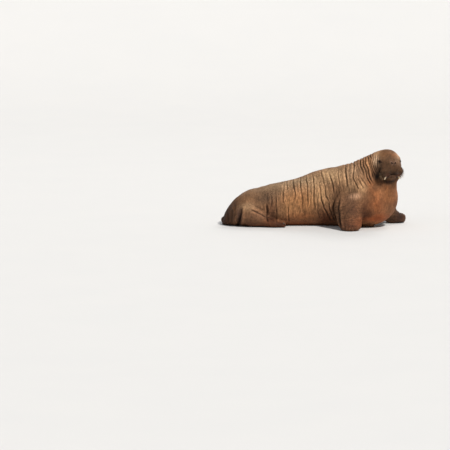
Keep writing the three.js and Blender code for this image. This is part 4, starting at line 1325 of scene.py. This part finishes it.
class WALRUS_OT_skin(bpy.types.Operator):
    """One skin over all the flesh, with its folds, lids, nostrils and lips"""

    bl_idname = "walrus.skin"
    bl_label = "Skin"

    DIGIT_BALL, DIGIT_SINK = (0.025, 0.025, 0.022), 0.014
    LIFTED, CLEAR_OF_FLOOR, CREASE_REACH = 0.010, 0.006, 0.007
    HAND_TOP, HAND_BACK = 0.16, 0.20
    TIP_EVENING = 0.6
    ROLL, GRAIN = 0.0024, 0.0009
    LIP_DEPTH, PAD_DEPTH = 0.0065, 0.0050
    CALM_FACE, PLEAT_SHADE, RING_SHADE = 0.9, 0.52, 0.55

    def rough_form(self):
        """Copies of the solids with balls along the forms and at the digits' tips, as one piece."""
        rough = [node_copy(name) for name in ("torso", "hindquarters", "chest", "neck", "lower_jaw")]
        rough += [node_copy(name) for name in FLESH_NODES if "flipper" in name]
        for form in (*BODY, *THIGHS, TAIL, *SKULL, *SNOUT, *JAW):
            rough += [add_ball(egg.centre, egg.radii, egg.axes) for egg in form.eggs()]
        for limb, (prefix, nails) in CLAWS.items():
            up = FLIPPERS[limb].frame(CLAW_AT)[3]
            for i in range(len(nails)):
                centre = middle_of(prefix + str(i + 1)) - self.DIGIT_SINK * up
                rough.append(add_ball(centre, self.DIGIT_BALL))
        return join(rough, "walrus_skin")

    def refine(self, skin, inset):
        """Splits the faces where the skin shows, then at creases, face and hands, then at features."""

        def shown(points, _):
            return points[:, 2] > self.LIFTED

        def creased(points, facing):
            near = near_folds(points, facing[:, 1], self.CREASE_REACH)
            hands = (ring_share(points) > 0.6) & (points[:, 2] < self.HAND_TOP)
            hands &= points[:, 0] > self.HAND_BACK
            return (near | on_face(points) | hands) & (points[:, 2] > self.CLEAR_OF_FLOOR)

        split_faces(skin, shown)
        pull_to_flesh(skin.data, 3, inset)
        split_faces(skin, creased)
        pull_to_flesh(skin.data, 2, inset)
        split_faces(skin, lambda points, _: on_features(points))
        pull_to_flesh(skin.data, 3, inset, on_features)
        points = places(skin.data)
        share = self.TIP_EVENING * tip_share(points)[:, None]
        put_places(skin.data, evened(points, edges(skin.data), share, 3))

    def crease(self, mesh, fold_depth):
        """Moves the skin into its folds and features, and paints it."""
        points = places(mesh)
        facing = normals(mesh)
        lips, edge = lip_line(points), pad_line(points)
        ring, pad = ring_share(points), pad_share(points)
        out, deep, proud = fold_shape(points, facing[:, 1])
        pleat, pleat_deep = pleats(points, facing[:, 1])
        round_limb, ring_deep = rings(points, ring)
        face = smooth(-0.20, -0.14, head_places(points)[:, 1]) * (points[:, 2] > 0.50)
        calm = 1 - self.CALM_FACE * face
        out += calm * (pleat * (1 - ring) + self.ROLL * noise(points, (22, 22, 7), 5))
        out += self.GRAIN * noise(points, (60, 60, 34), 6) + round_limb
        out -= self.LIP_DEPTH * lips + self.PAD_DEPTH * edge
        # Painted shade in the pleats and in the wrinkles round the limbs, as well as the folds
        deep = np.maximum(deep, self.PLEAT_SHADE * calm * pleat_deep * (1 - ring))
        deep = np.maximum(deep, self.RING_SHADE * ring_deep)
        points = points + (fold_depth * out)[:, None] * facing
        points = set_nose_and_ears(points)
        points = set_lids(points)
        points[:, 2] = np.maximum(points[:, 2], 0.0)
        put_places(mesh, points)
        put_colours(mesh, "Tone", paint(points, deep, proud, np.maximum(0.9 * lips, 0.5 * edge)))
        streak = streak_share(points)
        for name, values in (("Ring", ring), ("Pad", pad), ("Streak", streak), ("Deep", deep)):
            put_values(mesh, name, values)

    def execute(self, context):
        sizes = context.scene.walrus_sizes
        skin = self.rough_form()
        skin.data.materials.clear()
        apply_modifier(skin, "REMESH", mode="VOXEL", voxel_size=sizes.face_size)
        apply_modifier(skin, "SMOOTH", factor=0.5, iterations=4)
        pull_to_flesh(skin.data, 6, sizes.coat_depth)
        self.refine(skin, sizes.coat_depth)
        self.crease(skin.data, sizes.fold_depth)
        shade_smooth(skin)
        finish_piece(skin, hide_material())
        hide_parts(*FLESH_NODES)
        return {"FINISHED"}


class WALRUS_OT_eyes(bpy.types.Operator):
    """Two dark, wet eyeballs with a brown iris behind a bulging front"""

    bl_idname = "walrus.eyes"
    bl_label = "Eyes"

    BULGE, BULGE_REACH = 0.045, 26
    IRIS_EDGE, PUPIL_EDGE = (33, 38), (15, 19)
    BALL, IRIS, PUPIL = (70, 44, 34), (38, 20, 11), (5, 4, 4)

    def execute(self, context):
        material = eye_material()
        for eye in EYES:
            ball = add_ball(eye.centre, (eye.RADIUS,) * 3, eye.axes, 48, 32)
            ball.name = ball.data.name = "eyeball_" + eye.name
            points = places(ball.data)
            offset = (points - eye.centre) @ eye.axes.T
            from_front = np.degrees(np.arctan2(np.hypot(offset[:, 0], offset[:, 1]), offset[:, 2]))
            bulge = 1 + self.BULGE * hill(from_front, self.BULGE_REACH)
            put_places(ball.data, eye.centre + (points - eye.centre) * bulge[:, None])
            colour = over(linear(*self.BALL), self.IRIS, 1 - smooth(*self.IRIS_EDGE, from_front))
            colour = over(colour, self.PUPIL, 1 - smooth(*self.PUPIL_EDGE, from_front))
            put_colours(ball.data, "Tone", colour)
            shade_smooth(ball)
            finish_piece(ball, material)
            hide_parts("eye_" + eye.name)
        return {"FINISHED"}


class WALRUS_OT_tusks(bpy.types.Operator):
    """Two short tusks of ivory, reddish at the root"""

    bl_idname = "walrus.tusks"
    bl_label = "Tusks"

    LENGTH, RADIUS, BEND, DEEPER = 0.074, 0.0092, 0.005, 1.15
    ROOT, SPLAY, BACK = (0.058, -0.030, 0.592), 0.42, 0.06
    TIP_START, STAIN_END = 0.93, (0.42, 0.72)
    IVORY, STAINED = (226, 206, 172), (176, 120, 92)
    RINGS, AROUND = 28, 28

    def faces(self):
        """Four-sided faces between the rings, and a fan of triangles at each end."""
        faces = []
        last = self.RINGS * self.AROUND
        root, tip = last + self.AROUND, last + self.AROUND + 1
        following = [(j, (j + 1) % self.AROUND) for j in range(self.AROUND)]
        for i in range(0, last, self.AROUND):
            after = i + self.AROUND
            faces += [(i + j, i + k, after + k, after + j) for j, k in following]
        for j, k in following:
            faces += [(k, j, root), (last + j, last + k, tip)]
        return faces

    def execute(self, context):
        material = tusk_material()
        width = evenly((1, 1, 0.94, 0.84, 0.66, 0.40))
        for name, side in SIDES:
            down = unit(-UP + side * self.SPLAY * HEAD_LEFT - self.BACK * HEAD_FORWARD)
            turn = Vector((0, 0, 1)).rotation_difference(Vector(down)).to_matrix()
            root = in_head(side * self.ROOT[0], *self.ROOT[1:])
            points = []
            for i in range(self.RINGS + 1):
                s = i / self.RINGS
                closing_in = max(0.0, (s - self.TIP_START) / (1 - self.TIP_START))
                rounding = math.sqrt(max(0.0, 1 - closing_in ** 2))
                r = self.RADIUS * float(width(s)) * max(rounding, 0.02)
                for j in range(self.AROUND):
                    angle = 2 * math.pi * j / self.AROUND
                    flute = 1 + 0.035 * math.cos(3 * angle + 1) + 0.012 * math.cos(9 * angle)
                    across = r * flute * math.cos(angle)
                    ahead = self.BEND * s * s + self.DEEPER * r * flute * math.sin(angle)
                    points.append(root + np.array(turn @ Vector((across, ahead, s * self.LENGTH))))
            points += [root, root + np.array(turn @ Vector((0, self.BEND, self.LENGTH)))]
            tusk = mesh_piece("tusk_ivory_" + name, np.array(points), self.faces())
            along = np.linalg.norm(places(tusk.data) - root, axis=1) / self.LENGTH
            stain = 1 - smooth(*self.STAIN_END, along)
            put_colours(tusk.data, "Tone", over(linear(*self.IVORY), self.STAINED, stain))
            shade_smooth(tusk)
            finish_piece(tusk, material)
            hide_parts("tusk_" + name)
        return {"FINISHED"}


CLAW_AT = 0.9
CLAWS = {
    # the nodes' prefix, and the half length of each nail in mm
    "fore_right": ("fore_claw_right_", (9, 9, 9, 9, 8)),
    "fore_left": ("fore_claw_left_", (9, 9, 9, 9, 8)),
    "hind_right": ("hind_claw_right_", (7, 12, 13, 12, 7)),
    "hind_left": ("hind_claw_left_", (7, 12, 13, 12, 7)),
}


class WALRUS_OT_claws(bpy.types.Operator):
    """A small nail on each digit, arched along its length and sunk at its root"""

    bl_idname = "walrus.claws"
    bl_label = "Claws"

    SHAPE, ARCH, TAPER = (0.36, 1.0, 0.30), 0.16, 0.34
    DROOP, SUNK = 0.08, 0.0015

    def execute(self, context):
        material = claw_material()
        pattern = add_ball((0, 0, 0), self.SHAPE, LEVEL, 20, 14)
        points = places(pattern.data)
        points[:, 2] -= self.ARCH * points[:, 1] ** 2
        points[:, 0] *= 1 - self.TAPER * smooth(0, 1, points[:, 1])
        put_places(pattern.data, points)
        for limb, (prefix, nails) in CLAWS.items():
            _, forward, _, up = FLIPPERS[limb].frame(CLAW_AT)
            ahead = unit(forward - self.DROOP * up)
            axes = np.array((unit(np.cross(ahead, up)), ahead, up))
            for i, size in enumerate(nails):
                deselect()
                claw = pattern.copy()
                claw.data = pattern.data.copy()
                claw.name = claw.data.name = "nail_" + prefix[:-1] + "_%d" % (i + 1)
                context.collection.objects.link(claw)
                centre = middle_of(prefix + str(i + 1)) - self.SUNK * up
                put_places(claw.data, centre + places(claw.data) * size / 1000 @ axes)
                shade_smooth(claw)
                finish_piece(claw, material)
                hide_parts(prefix + str(i + 1))
        bpy.data.objects.remove(pattern)
        return {"FINISHED"}


def spines(roots, outs, bends, lengths, radii, sides, rings, flatness=1.0, power=0.8):
    """Many tapered spines as one mesh: its points, triangles, each point's owner and place along it."""
    count = len(roots)
    helper = np.where(np.abs(outs[:, 2:]) > 0.9, np.array((1.0, 0.0, 0.0)), UP)
    first = np.cross(outs, helper)
    first /= np.linalg.norm(first, axis=1)[:, None]
    second = np.cross(outs, first) * flatness
    per = rings * sides + 1
    points = np.empty((count, per, 3))
    along = np.ones((count, per))
    for i in range(rings):
        s = i / rings
        centre = roots + outs * (s * lengths)[:, None] + bends * s ** 2
        thickness = (radii * (1 - s) ** power)[:, None]
        for j in range(sides):
            angle = 2 * math.pi * j / sides
            around = first * math.cos(angle) + second * math.sin(angle)
            points[:, i * sides + j] = centre + around * thickness
            along[:, i * sides + j] = s
    points[:, -1] = roots + outs * lengths[:, None] + bends
    triangles = []
    for j in range(sides):
        k = (j + 1) % sides
        for i in range(rings - 1):
            a, b, c, d = i * sides + j, i * sides + k, (i + 1) * sides + k, (i + 1) * sides + j
            triangles += [(a, b, c), (a, c, d)]
        triangles.append(((rings - 1) * sides + j, (rings - 1) * sides + k, per - 1))
        if 0 < j < sides - 1:
            triangles.append((0, j + 1, j))
    triangles = np.array(triangles)
    starts = np.arange(count) * per
    faces = (triangles[None] + starts[:, None, None]).reshape(-1, 3)
    return points.reshape(-1, 3), faces, np.repeat(np.arange(count), per), along.ravel()


def triangle_piece(name, points, faces):
    """A piece made straight from arrays of places and triangles."""
    mesh = bpy.data.meshes.new(name)
    mesh.vertices.add(len(points))
    mesh.loops.add(faces.size)
    mesh.polygons.add(len(faces))
    mesh.vertices.foreach_set("co", points.astype(np.float32).ravel())
    mesh.loops.foreach_set("vertex_index", faces.astype(np.int32).ravel())
    mesh.polygons.foreach_set("loop_start", np.arange(0, faces.size, 3, dtype=np.int32))
    mesh.update(calc_edges=True)
    piece = bpy.data.objects.new(name, mesh)
    bpy.context.collection.objects.link(piece)
    return piece


def facing_out(points, faces, owner, roots, outs):
    """The triangles turned so that they face away from the line of their own spine."""
    corners = points[faces]
    normal = np.cross(corners[:, 1] - corners[:, 0], corners[:, 2] - corners[:, 0])
    who = owner[faces[:, 0]]
    offset = corners.mean(1) - roots[who]
    line = outs[who]
    offset -= (offset * line).sum(1)[:, None] * line
    inward = (normal * offset).sum(1) < 0
    cap = np.abs((normal * line).sum(1)) > 0.9 * np.linalg.norm(normal, axis=1)
    inward = np.where(cap, (normal * line).sum(1) > 0, inward)
    faces = faces.copy()
    faces[inward] = faces[inward][:, ::-1]
    return faces


def skin_tree():
    """The skin's faces, ready to be hit by a ray."""
    mesh = bpy.data.objects["walrus_skin"].data
    corners = [tuple(polygon.vertices) for polygon in mesh.polygons]
    return BVHTree.FromPolygons(places(mesh).tolist(), corners)


class WALRUS_OT_moustache(bpy.types.Operator):
    """The stiff bristles on both pads of the upper lip, short by the nose and long at the sides"""

    bl_idname = "walrus.moustache"
    bl_label = "Moustache"

    ROWS = 15
    FIRST_TURN, TURN_SPAN = -34, 122
    FIRST_LIFT, LIFT_SPAN = 42, 118
    LOWEST, SUNK, JITTER = 0.535, 0.003, 0.35
    SHORTEST, LOWER_ROWS, OUTER_SIDE, UNEVEN = 0.005, 0.010, 0.026, (0.75, 1.2)
    STRAY, DROOP, SPREAD, CURL = 0.09, 0.30, 0.06, 0.07
    THICKNESS, THICKENING, AROUND, RINGS = (0.00045, 0.00075), 0.004, 5, 5
    DARK, PALE, SHADE = (50, 33, 22), (172, 138, 100), (0.75, 1.15)
    PALE_FROM, PALE_LENGTHS = (0.15, 0.85), (0.014, 0.032)

    def execute(self, context):
        sizes = context.scene.walrus_sizes
        tree = skin_tree()
        material = bristle_material()
        random = np.random.default_rng(1820)
        for name, side in SIDES:
            centre = in_head(side * PAD[0], PAD[1], PAD[2])
            roots, outs, lengths = [], [], []
            columns = int(sizes.bristles / self.ROWS)
            for row in range(self.ROWS):
                for column in range(columns):
                    shift = random.uniform(-self.JITTER, self.JITTER)
                    aside = (column + 0.5 * (row % 2) + shift) / columns
                    down = (row + random.uniform(-self.JITTER, self.JITTER)) / (self.ROWS - 1)
                    turn = math.radians(self.FIRST_TURN + self.TURN_SPAN * aside)
                    lift = math.radians(self.FIRST_LIFT - self.LIFT_SPAN * down)
                    level = math.cos(turn) * HEAD_FORWARD + side * math.sin(turn) * HEAD_LEFT
                    out = unit(math.cos(lift) * level + math.sin(lift) * UP)
                    hit, normal, _, _ = tree.ray_cast(Vector(centre), Vector(out), 0.2)
                    if hit is None or hit.z < self.LOWEST:
                        continue
                    normal = np.array(normal)
                    low, wide = max(0.0, down), max(0.0, aside)
                    length = self.SHORTEST + self.LOWER_ROWS * low
                    length += self.OUTER_SIDE * wide ** 1.6 * (0.30 + 0.70 * low)
                    length *= random.uniform(*self.UNEVEN)
                    flow = -0.75 * UP + side * (0.15 + 0.75 * wide) * HEAD_LEFT + 0.15 * HEAD_FORWARD
                    flow -= (flow @ normal) * normal
                    stray = random.normal(0, self.STRAY, 3)
                    out = unit((0.85 - 0.25 * low) * normal + 0.8 * flow + stray)
                    roots.append(np.array(hit) - self.SUNK * out)
                    outs.append(out)
                    lengths.append(length + self.SUNK)
            roots, outs, lengths = np.array(roots), np.array(outs), np.array(lengths)
            bends = lengths[:, None] * (side * self.SPREAD * HEAD_LEFT - self.DROOP * UP)
            bends += random.normal(0, self.CURL, bends.shape) * lengths[:, None]
            radii = random.uniform(*self.THICKNESS, len(roots))
            radii += self.THICKENING * (lengths - 0.01).clip(0)
            points, faces, owner, along = spines(
                roots, outs, bends, lengths, radii, self.AROUND, self.RINGS)
            faces = facing_out(points, faces, owner, roots, outs)
            piece = triangle_piece("moustache_" + name, points, faces)
            shade = random.uniform(*self.SHADE, len(roots))[owner][:, None]
            pale = smooth(*self.PALE_FROM, along) * smooth(*self.PALE_LENGTHS, lengths)[owner]
            put_colours(piece.data, "Tone", shade * over(linear(*self.DARK), self.PALE, pale))
            shade_smooth(piece)
            finish_piece(piece, material)
        return {"FINISHED"}


# The coat: how it lies, how long it is, and where each tuft is on the skin's own unwrap

LIE = [
    # place, the way the hair points there
    ((-0.90, 0.10, 0.20), (-0.7, 0.0, -0.7)),
    ((-0.60, 0.10, 0.35), (-1.0, 0.0, -0.1)),
    ((-0.60, -0.15, 0.12), (-0.4, -0.2, -0.8)),
    ((-0.60, 0.40, 0.12), (-0.4, 0.2, -0.8)),
    ((-0.20, 0.10, 0.45), (-1.0, 0.0, -0.1)),
    ((-0.20, -0.12, 0.20), (-0.7, 0.0, -0.7)),
    ((-0.20, 0.42, 0.20), (-0.7, 0.0, -0.7)),
    ((0.20, 0.10, 0.58), (-1.0, 0.1, -0.2)),
    ((0.20, -0.15, 0.25), (-0.5, 0.0, -0.9)),
    ((0.40, -0.15, 0.50), (-0.8, -0.1, -0.6)),
    ((0.45, 0.25, 0.45), (-0.8, 0.3, -0.6)),
    ((0.40, -0.35, 0.22), (-0.1, -0.2, -1.0)),
    ((0.36, -0.48, 0.05), (-0.2, -1.0, -0.2)),
    ((0.75, 0.20, 0.20), (0.2, 0.2, -1.0)),
    ((0.90, 0.27, 0.06), (0.9, 0.4, -0.2)),
    ((0.60, -0.10, 0.72), (-0.8, 0.3, -0.5)),
    ((0.65, -0.30, 0.50), (-0.3, -0.1, -1.0)),
    ((0.75, -0.35, 0.35), (-0.2, -0.1, -1.0)),
    ((0.60, -0.35, 0.15), (-0.4, 0.0, -0.8)),
    ((-0.45, -0.16, 0.06), (0.9, -0.1, -0.2)),
    ((-0.35, -0.14, 0.03), (1.0, 0.0, -0.1)),
    ((-0.45, 0.38, 0.06), (0.9, 0.1, -0.2)),
    ((-0.35, 0.42, 0.03), (1.0, 0.0, -0.1)),
]


LIE_REACH, SWIRL = 0.16, 0.35


def lie_of(points, facing):
    """The way the hair lies at each point, along the skin."""
    way = np.zeros(points.shape)
    for place, direction in LIE:
        weight = np.exp(-(((points - np.array(place)) / LIE_REACH) ** 2).sum(1)) + 1e-9
        way += weight[:, None] * unit(np.array(direction))
    way /= np.maximum(np.linalg.norm(way, axis=1), 1e-12)[:, None]
    nose = in_head(0, 0.02, 0.655)
    from_nose = points - nose
    from_nose /= np.linalg.norm(from_nose, axis=1)[:, None]
    head = head_places(points)
    share = (smooth(-0.30, -0.20, head[:, 1]) * smooth(0.50, 0.54, points[:, 2]))[:, None]
    way = way * (1 - share) + (from_nose - 0.25 * UP) * share
    swirl = np.column_stack([noise(points, (13, 13, 13), k) for k in (40, 41, 42)])
    way += SWIRL * swirl
    way -= (way * facing).sum(1)[:, None] * facing
    return way / np.maximum(np.linalg.norm(way, axis=1), 1e-9)[:, None]


HAIR, SHORTER = 0.0125, 0.62


def hair_length(points):
    """The tufts' length: short on the face and the feet."""
    head = head_places(points)
    face = smooth(-0.24, -0.12, head[:, 1]) * smooth(0.50, 0.54, points[:, 2])
    feet = ring_share(points) * smooth(0.22, 0.10, points[:, 2])
    return HAIR * (1 - SHORTER * face) * (1 - SHORTER * feet)


def bake_place(points):
    """Where a root lies on the skin's unwrap: a sheet round the trunk, the head and each flipper."""
    x, y, z = points.T
    middle = TRUNK_MIDDLE(np.clip(x, RUMP_END, CHEST_END))
    turn = np.arctan2(z - 0.20, y - middle) / (2 * math.pi) + 0.5
    u = 0.02 + 0.96 * (x + 1.0) / 2.0
    v = 0.02 + 0.62 * turn
    left, forward, height = (head_places(points) - np.array((0.0, -0.17, 0.65))).T
    head = (forward > -0.12) & (height > -0.10)
    u = np.where(head, 0.02 + 0.44 * (np.arctan2(left, forward) / (2 * math.pi) + 0.5), u)
    v = np.where(head, 0.68 + 0.30 * (np.arctan2(height, np.hypot(left, forward)) / math.pi + 0.5), v)
    for i, flipper in enumerate(FLIPPERS.values()):
        away = ((points[:, None] - flipper.centres[None, ::3]) ** 2).sum(2)
        k = np.argmin(away, axis=1) * 3
        offset = points - flipper.centres[k]
        across = np.clip((offset * flipper.acrosses[k]).sum(1) / 0.13, -1, 1)
        over = (offset * flipper.ups[k]).sum(1) > 0
        on = (flipper(points) < 0.012) & (flipper.s[k] > 0.35)
        u = np.where(on, 0.50 + 0.12 * i + 0.052 * (across + 1) / 2 + 0.058 * over, u)
        v = np.where(on, 0.68 + 0.30 * flipper.s[k], v)
    return u, v


class WALRUS_OT_coat(bpy.types.Operator):
    """Short flat tufts all over the skin, smallest on the face and the feet"""

    bl_idname = "walrus.coat"
    bl_label = "Coat"

    SIDES, RINGS, PATCH = 3, 2, 0.0015
    PER_PIECE = 19000
    LIFT, STRAY, LIFT_KEPT, DROOP = (3, 9), 0.13, 0.85, 0.10
    THIN, THICKENING, FLAT, SUNK = 0.00030, 0.042, 0.55, 0.0008
    SHADE, ROOT_LIGHT, TIP_LIGHT = (0.90, 1.28), 0.85, 0.35
    LIFTED, IN_CREASE, BY_NOSTRIL, BY_LID, BY_LIP = 0.006, 0.16, 1.7, 1.5, 0.3
    UNEVEN = (0.7, 1.25)

    def roots(self, mesh, count, random):
        """Places spread evenly over the skin, with the skin's normal and colour there."""
        mesh.calc_loop_triangles()
        triangles = values_of(mesh.loop_triangles, "vertices", 3, np.int32)
        points, facing = places(mesh), normals(mesh)
        tone = values_of(mesh.color_attributes["Tone"].data, "color", 4)
        deep = values_of(mesh.attributes["Deep"].data, "value")
        corners = points[triangles]
        across, along = corners[:, 1] - corners[:, 0], corners[:, 2] - corners[:, 0]
        area = np.linalg.norm(np.cross(across, along), axis=1)
        share_so_far = np.cumsum(area) / area.sum()
        pick = np.searchsorted(share_so_far, (np.arange(count) + random.uniform(0, 1, count)) / count)
        pick = np.clip(pick, 0, len(triangles) - 1)
        a, b = np.sqrt(random.uniform(0, 1, count)), random.uniform(0, 1, count)
        share = np.column_stack((1 - a, a * (1 - b), a * b))[:, :, None]
        root = (points[triangles[pick]] * share).sum(1)
        normal = (facing[triangles[pick]] * share).sum(1)
        colour = (tone[triangles[pick], :3] * share).sum(1)
        deep = (deep[triangles[pick]] * share[:, :, 0]).sum(1)
        return root, normal / np.linalg.norm(normal, axis=1)[:, None], colour, deep

    def bare(self, roots, deep):
        """Whether no hair grows at a place: by the floor, in creases and round the openings."""
        bare = (roots[:, 2] < self.LIFTED) | (deep > self.IN_CREASE)
        on_nose = head_places(roots)[:, 1] > -0.06
        for _, side in SIDES:
            bare |= (nostril_reach(roots, side) < self.BY_NOSTRIL) & on_nose
        for eye in EYES:
            near = np.linalg.norm(roots - eye.centre, axis=1) < 0.04
            bare |= (eye.opening(roots)[3] < self.BY_LID) & near
        return bare | (lip_line(roots) > self.BY_LIP)

    def execute(self, context):
        sizes = context.scene.walrus_sizes
        random = np.random.default_rng(77)
        skin = bpy.data.objects["walrus_skin"].data
        roots, facing, colour, deep = self.roots(skin, sizes.tufts, random)
        grown = ~self.bare(roots, deep)
        roots, facing, colour = roots[grown], facing[grown], colour[grown]
        order = random.permutation(len(roots))
        roots, facing, colour = roots[order], facing[order], colour[order]
        way = lie_of(roots, facing)
        lengths = hair_length(roots) * random.uniform(*self.UNEVEN, len(roots))
        lift = np.radians(random.uniform(*self.LIFT, len(roots)))[:, None]
        outs = way * np.cos(lift) + facing * np.sin(lift)
        stray = random.normal(0, self.STRAY, roots.shape)
        outs += stray - self.LIFT_KEPT * (stray * facing).sum(1)[:, None] * facing
        outs /= np.linalg.norm(outs, axis=1)[:, None]
        bends = -facing * (self.DROOP * lengths)[:, None]
        radii = self.THIN + self.THICKENING * lengths
        starts = roots - self.SUNK * facing
        colour = colour * random.uniform(*self.SHADE, len(roots))[:, None]
        unwrap = np.column_stack(bake_place(roots))
        material = coat_material()
        for n, start in enumerate(range(0, len(roots), self.PER_PIECE)):
            here = slice(start, start + self.PER_PIECE)
            points, faces, owner, along = spines(
                starts[here], outs[here], bends[here], lengths[here], radii[here],
                self.SIDES, self.RINGS, self.FLAT)
            faces = facing_out(points, faces, owner, starts[here], outs[here])
            points[:, 2] = np.maximum(points[:, 2], 0.0)
            piece = triangle_piece("coat_%d" % (n + 1), points, faces)
            light = (self.ROOT_LIGHT + self.TIP_LIGHT * along)[:, None]
            put_colours(piece.data, "Tone", np.clip(colour[here][owner] * light, 0, 1))
            layer = piece.data.uv_layers.new(name="OFBake")
            turns = np.arange(self.SIDES * self.RINGS + 1) * 2 * math.pi / self.SIDES
            angle = np.tile(turns, len(lengths[here]))
            spread = (self.PATCH * (1 - 0.99 * along))[:, None]
            place = unwrap[here][owner] + spread * np.column_stack((np.cos(angle), np.sin(angle)))
            layer.data.foreach_set("uv", place[faces.ravel()].astype(np.float32).ravel())
            shade_smooth(piece)
            finish_piece(piece, material)
        return {"FINISHED"}


class WALRUS_OT_stage(bpy.types.Operator):
    """A pale floor that curves up behind, soft lights and the photograph's camera"""

    bl_idname = "walrus.stage"
    bl_label = "Stage"

    PIXEL = 0.0105
    PIXELS = 450
    DISTANCE = 40.0
    LIFT = math.radians(7.0)
    AIM = np.array((-0.9345, 0.0, 0.006))
    FLOOR_WIDE, FLOOR_LONG, FLOOR_FRONT = 120, 90, -60
    CURVE_START, CURVE = 12.0, 0.05
    SENSOR, FARTHEST = 36.0, 400.0
    LIGHTS = (
        # name, turn from the camera, height and spread in degrees, strength, colour
        ("key", 38, 47, 8, 3.7, (1.0, 0.95, 0.88)),
        ("fill", -50, 22, 60, 0.30, (0.94, 0.97, 1.0)),
        ("back", 150, 40, 25, 0.90, (1.0, 0.97, 0.93)),
    )
    SKY, SKY_STRENGTH = (0.93, 0.96, 1.0, 1), 0.34

    def lay_floor(self, context):
        deselect()
        bpy.ops.mesh.primitive_grid_add(x_subdivisions=4, y_subdivisions=60, size=1)
        floor = context.active_object
        floor.name = floor.data.name = "floor"
        points = places(floor.data)
        y = (points[:, 1] + 0.5) * self.FLOOR_LONG + self.FLOOR_FRONT
        rise = np.maximum(0, y - self.CURVE_START)
        points = np.column_stack((points[:, 0] * self.FLOOR_WIDE, y, self.CURVE * rise ** 2))
        put_places(floor.data, points)
        shade_smooth(floor)
        floor.data.materials.append(floor_material())

    def set_camera(self, scene):
        toward = np.array((0.0, -math.cos(self.LIFT), math.sin(self.LIFT)))
        camera = bpy.data.cameras.new("camera")
        camera.sensor_width = self.SENSOR
        camera.lens = self.SENSOR * self.DISTANCE / (self.PIXEL * self.PIXELS)
        camera.clip_end = self.FARTHEST
        seat = bpy.data.objects.new("camera", camera)
        scene.collection.objects.link(seat)
        seat.location = self.AIM + SHIFT + self.DISTANCE * toward
        seat.rotation_euler = (math.pi / 2 - self.LIFT, 0, 0)
        scene.camera = seat

    def hang_lights(self, scene):
        for name, turn, lift, angle, strength, colour in self.LIGHTS:
            lamp = bpy.data.lights.new(name, "SUN")
            lamp.angle, lamp.energy, lamp.color = math.radians(angle), strength, colour
            stand = bpy.data.objects.new(name, lamp)
            turn, lift = math.radians(turn), math.radians(lift)
            level = math.cos(lift)
            way = Vector((math.sin(turn) * level, -math.cos(turn) * level, math.sin(lift)))
            stand.location = 5 * way
            stand.rotation_euler = way.to_track_quat("Z", "Y").to_euler()
            scene.collection.objects.link(stand)

    def execute(self, context):
        scene = context.scene
        self.lay_floor(context)
        self.set_camera(scene)
        self.hang_lights(scene)
        world = bpy.data.worlds.new("studio")
        world.use_nodes = True
        sky = world.node_tree.nodes["Background"].inputs
        sky["Color"].default_value = self.SKY
        sky["Strength"].default_value = self.SKY_STRENGTH
        scene.world = world
        scene.view_settings.view_transform = "Standard"
        return {"FINISHED"}


OPERATORS = (WALRUS_OT_stage, WALRUS_OT_skin, WALRUS_OT_eyes, WALRUS_OT_tusks, WALRUS_OT_claws,
             WALRUS_OT_moustache, WALRUS_OT_coat)


class WalrusSizes(bpy.types.PropertyGroup):
    face_size: bpy.props.FloatProperty(
        name="Face size", description="Side of the skin's largest faces", default=0.0198, unit="LENGTH")
    coat_depth: bpy.props.FloatProperty(
        name="Coat depth", description="How far the skin lies inside the solids", default=0.003,
        unit="LENGTH")
    fold_depth: bpy.props.FloatProperty(
        name="Fold depth", description="Depth of the hide's folds, as a share of the measured depth",
        default=0.8, min=0.0, max=2.0, subtype="FACTOR")
    bristles: bpy.props.IntProperty(
        name="Bristles", description="Bristles on each pad of the moustache", default=420, min=15)
    tufts: bpy.props.IntProperty(
        name="Tufts", description="Tufts of the coat over the whole skin", default=114000, min=100)


class WALRUS_PT_parts(bpy.types.Panel):
    bl_idname = "WALRUS_PT_parts"
    bl_label = "Walrus"
    bl_space_type = "VIEW_3D"
    bl_region_type = "UI"
    bl_category = "Walrus"

    def draw(self, context):
        sizes = context.scene.walrus_sizes
        for name in sizes.__annotations__:
            self.layout.prop(sizes, name)
        for operator in OPERATORS:
            self.layout.operator(operator.bl_idname)


CLASSES = (WalrusSizes, *OPERATORS, WALRUS_PT_parts)


def register():
    for kind in CLASSES:
        bpy.utils.register_class(kind)
    bpy.types.Scene.walrus_sizes = bpy.props.PointerProperty(type=WalrusSizes)


def unregister():
    del bpy.types.Scene.walrus_sizes
    for kind in reversed(CLASSES):
        bpy.utils.unregister_class(kind)


def main():
    """Builds everything."""
    register()
    bpy.ops.walrus.stage()
    bpy.ops.walrus.skin()
    bpy.ops.walrus.eyes()
    bpy.ops.walrus.tusks()
    bpy.ops.walrus.claws()
    bpy.ops.walrus.moustache()
    bpy.ops.walrus.coat()


if __name__ == "__main__":
    main()
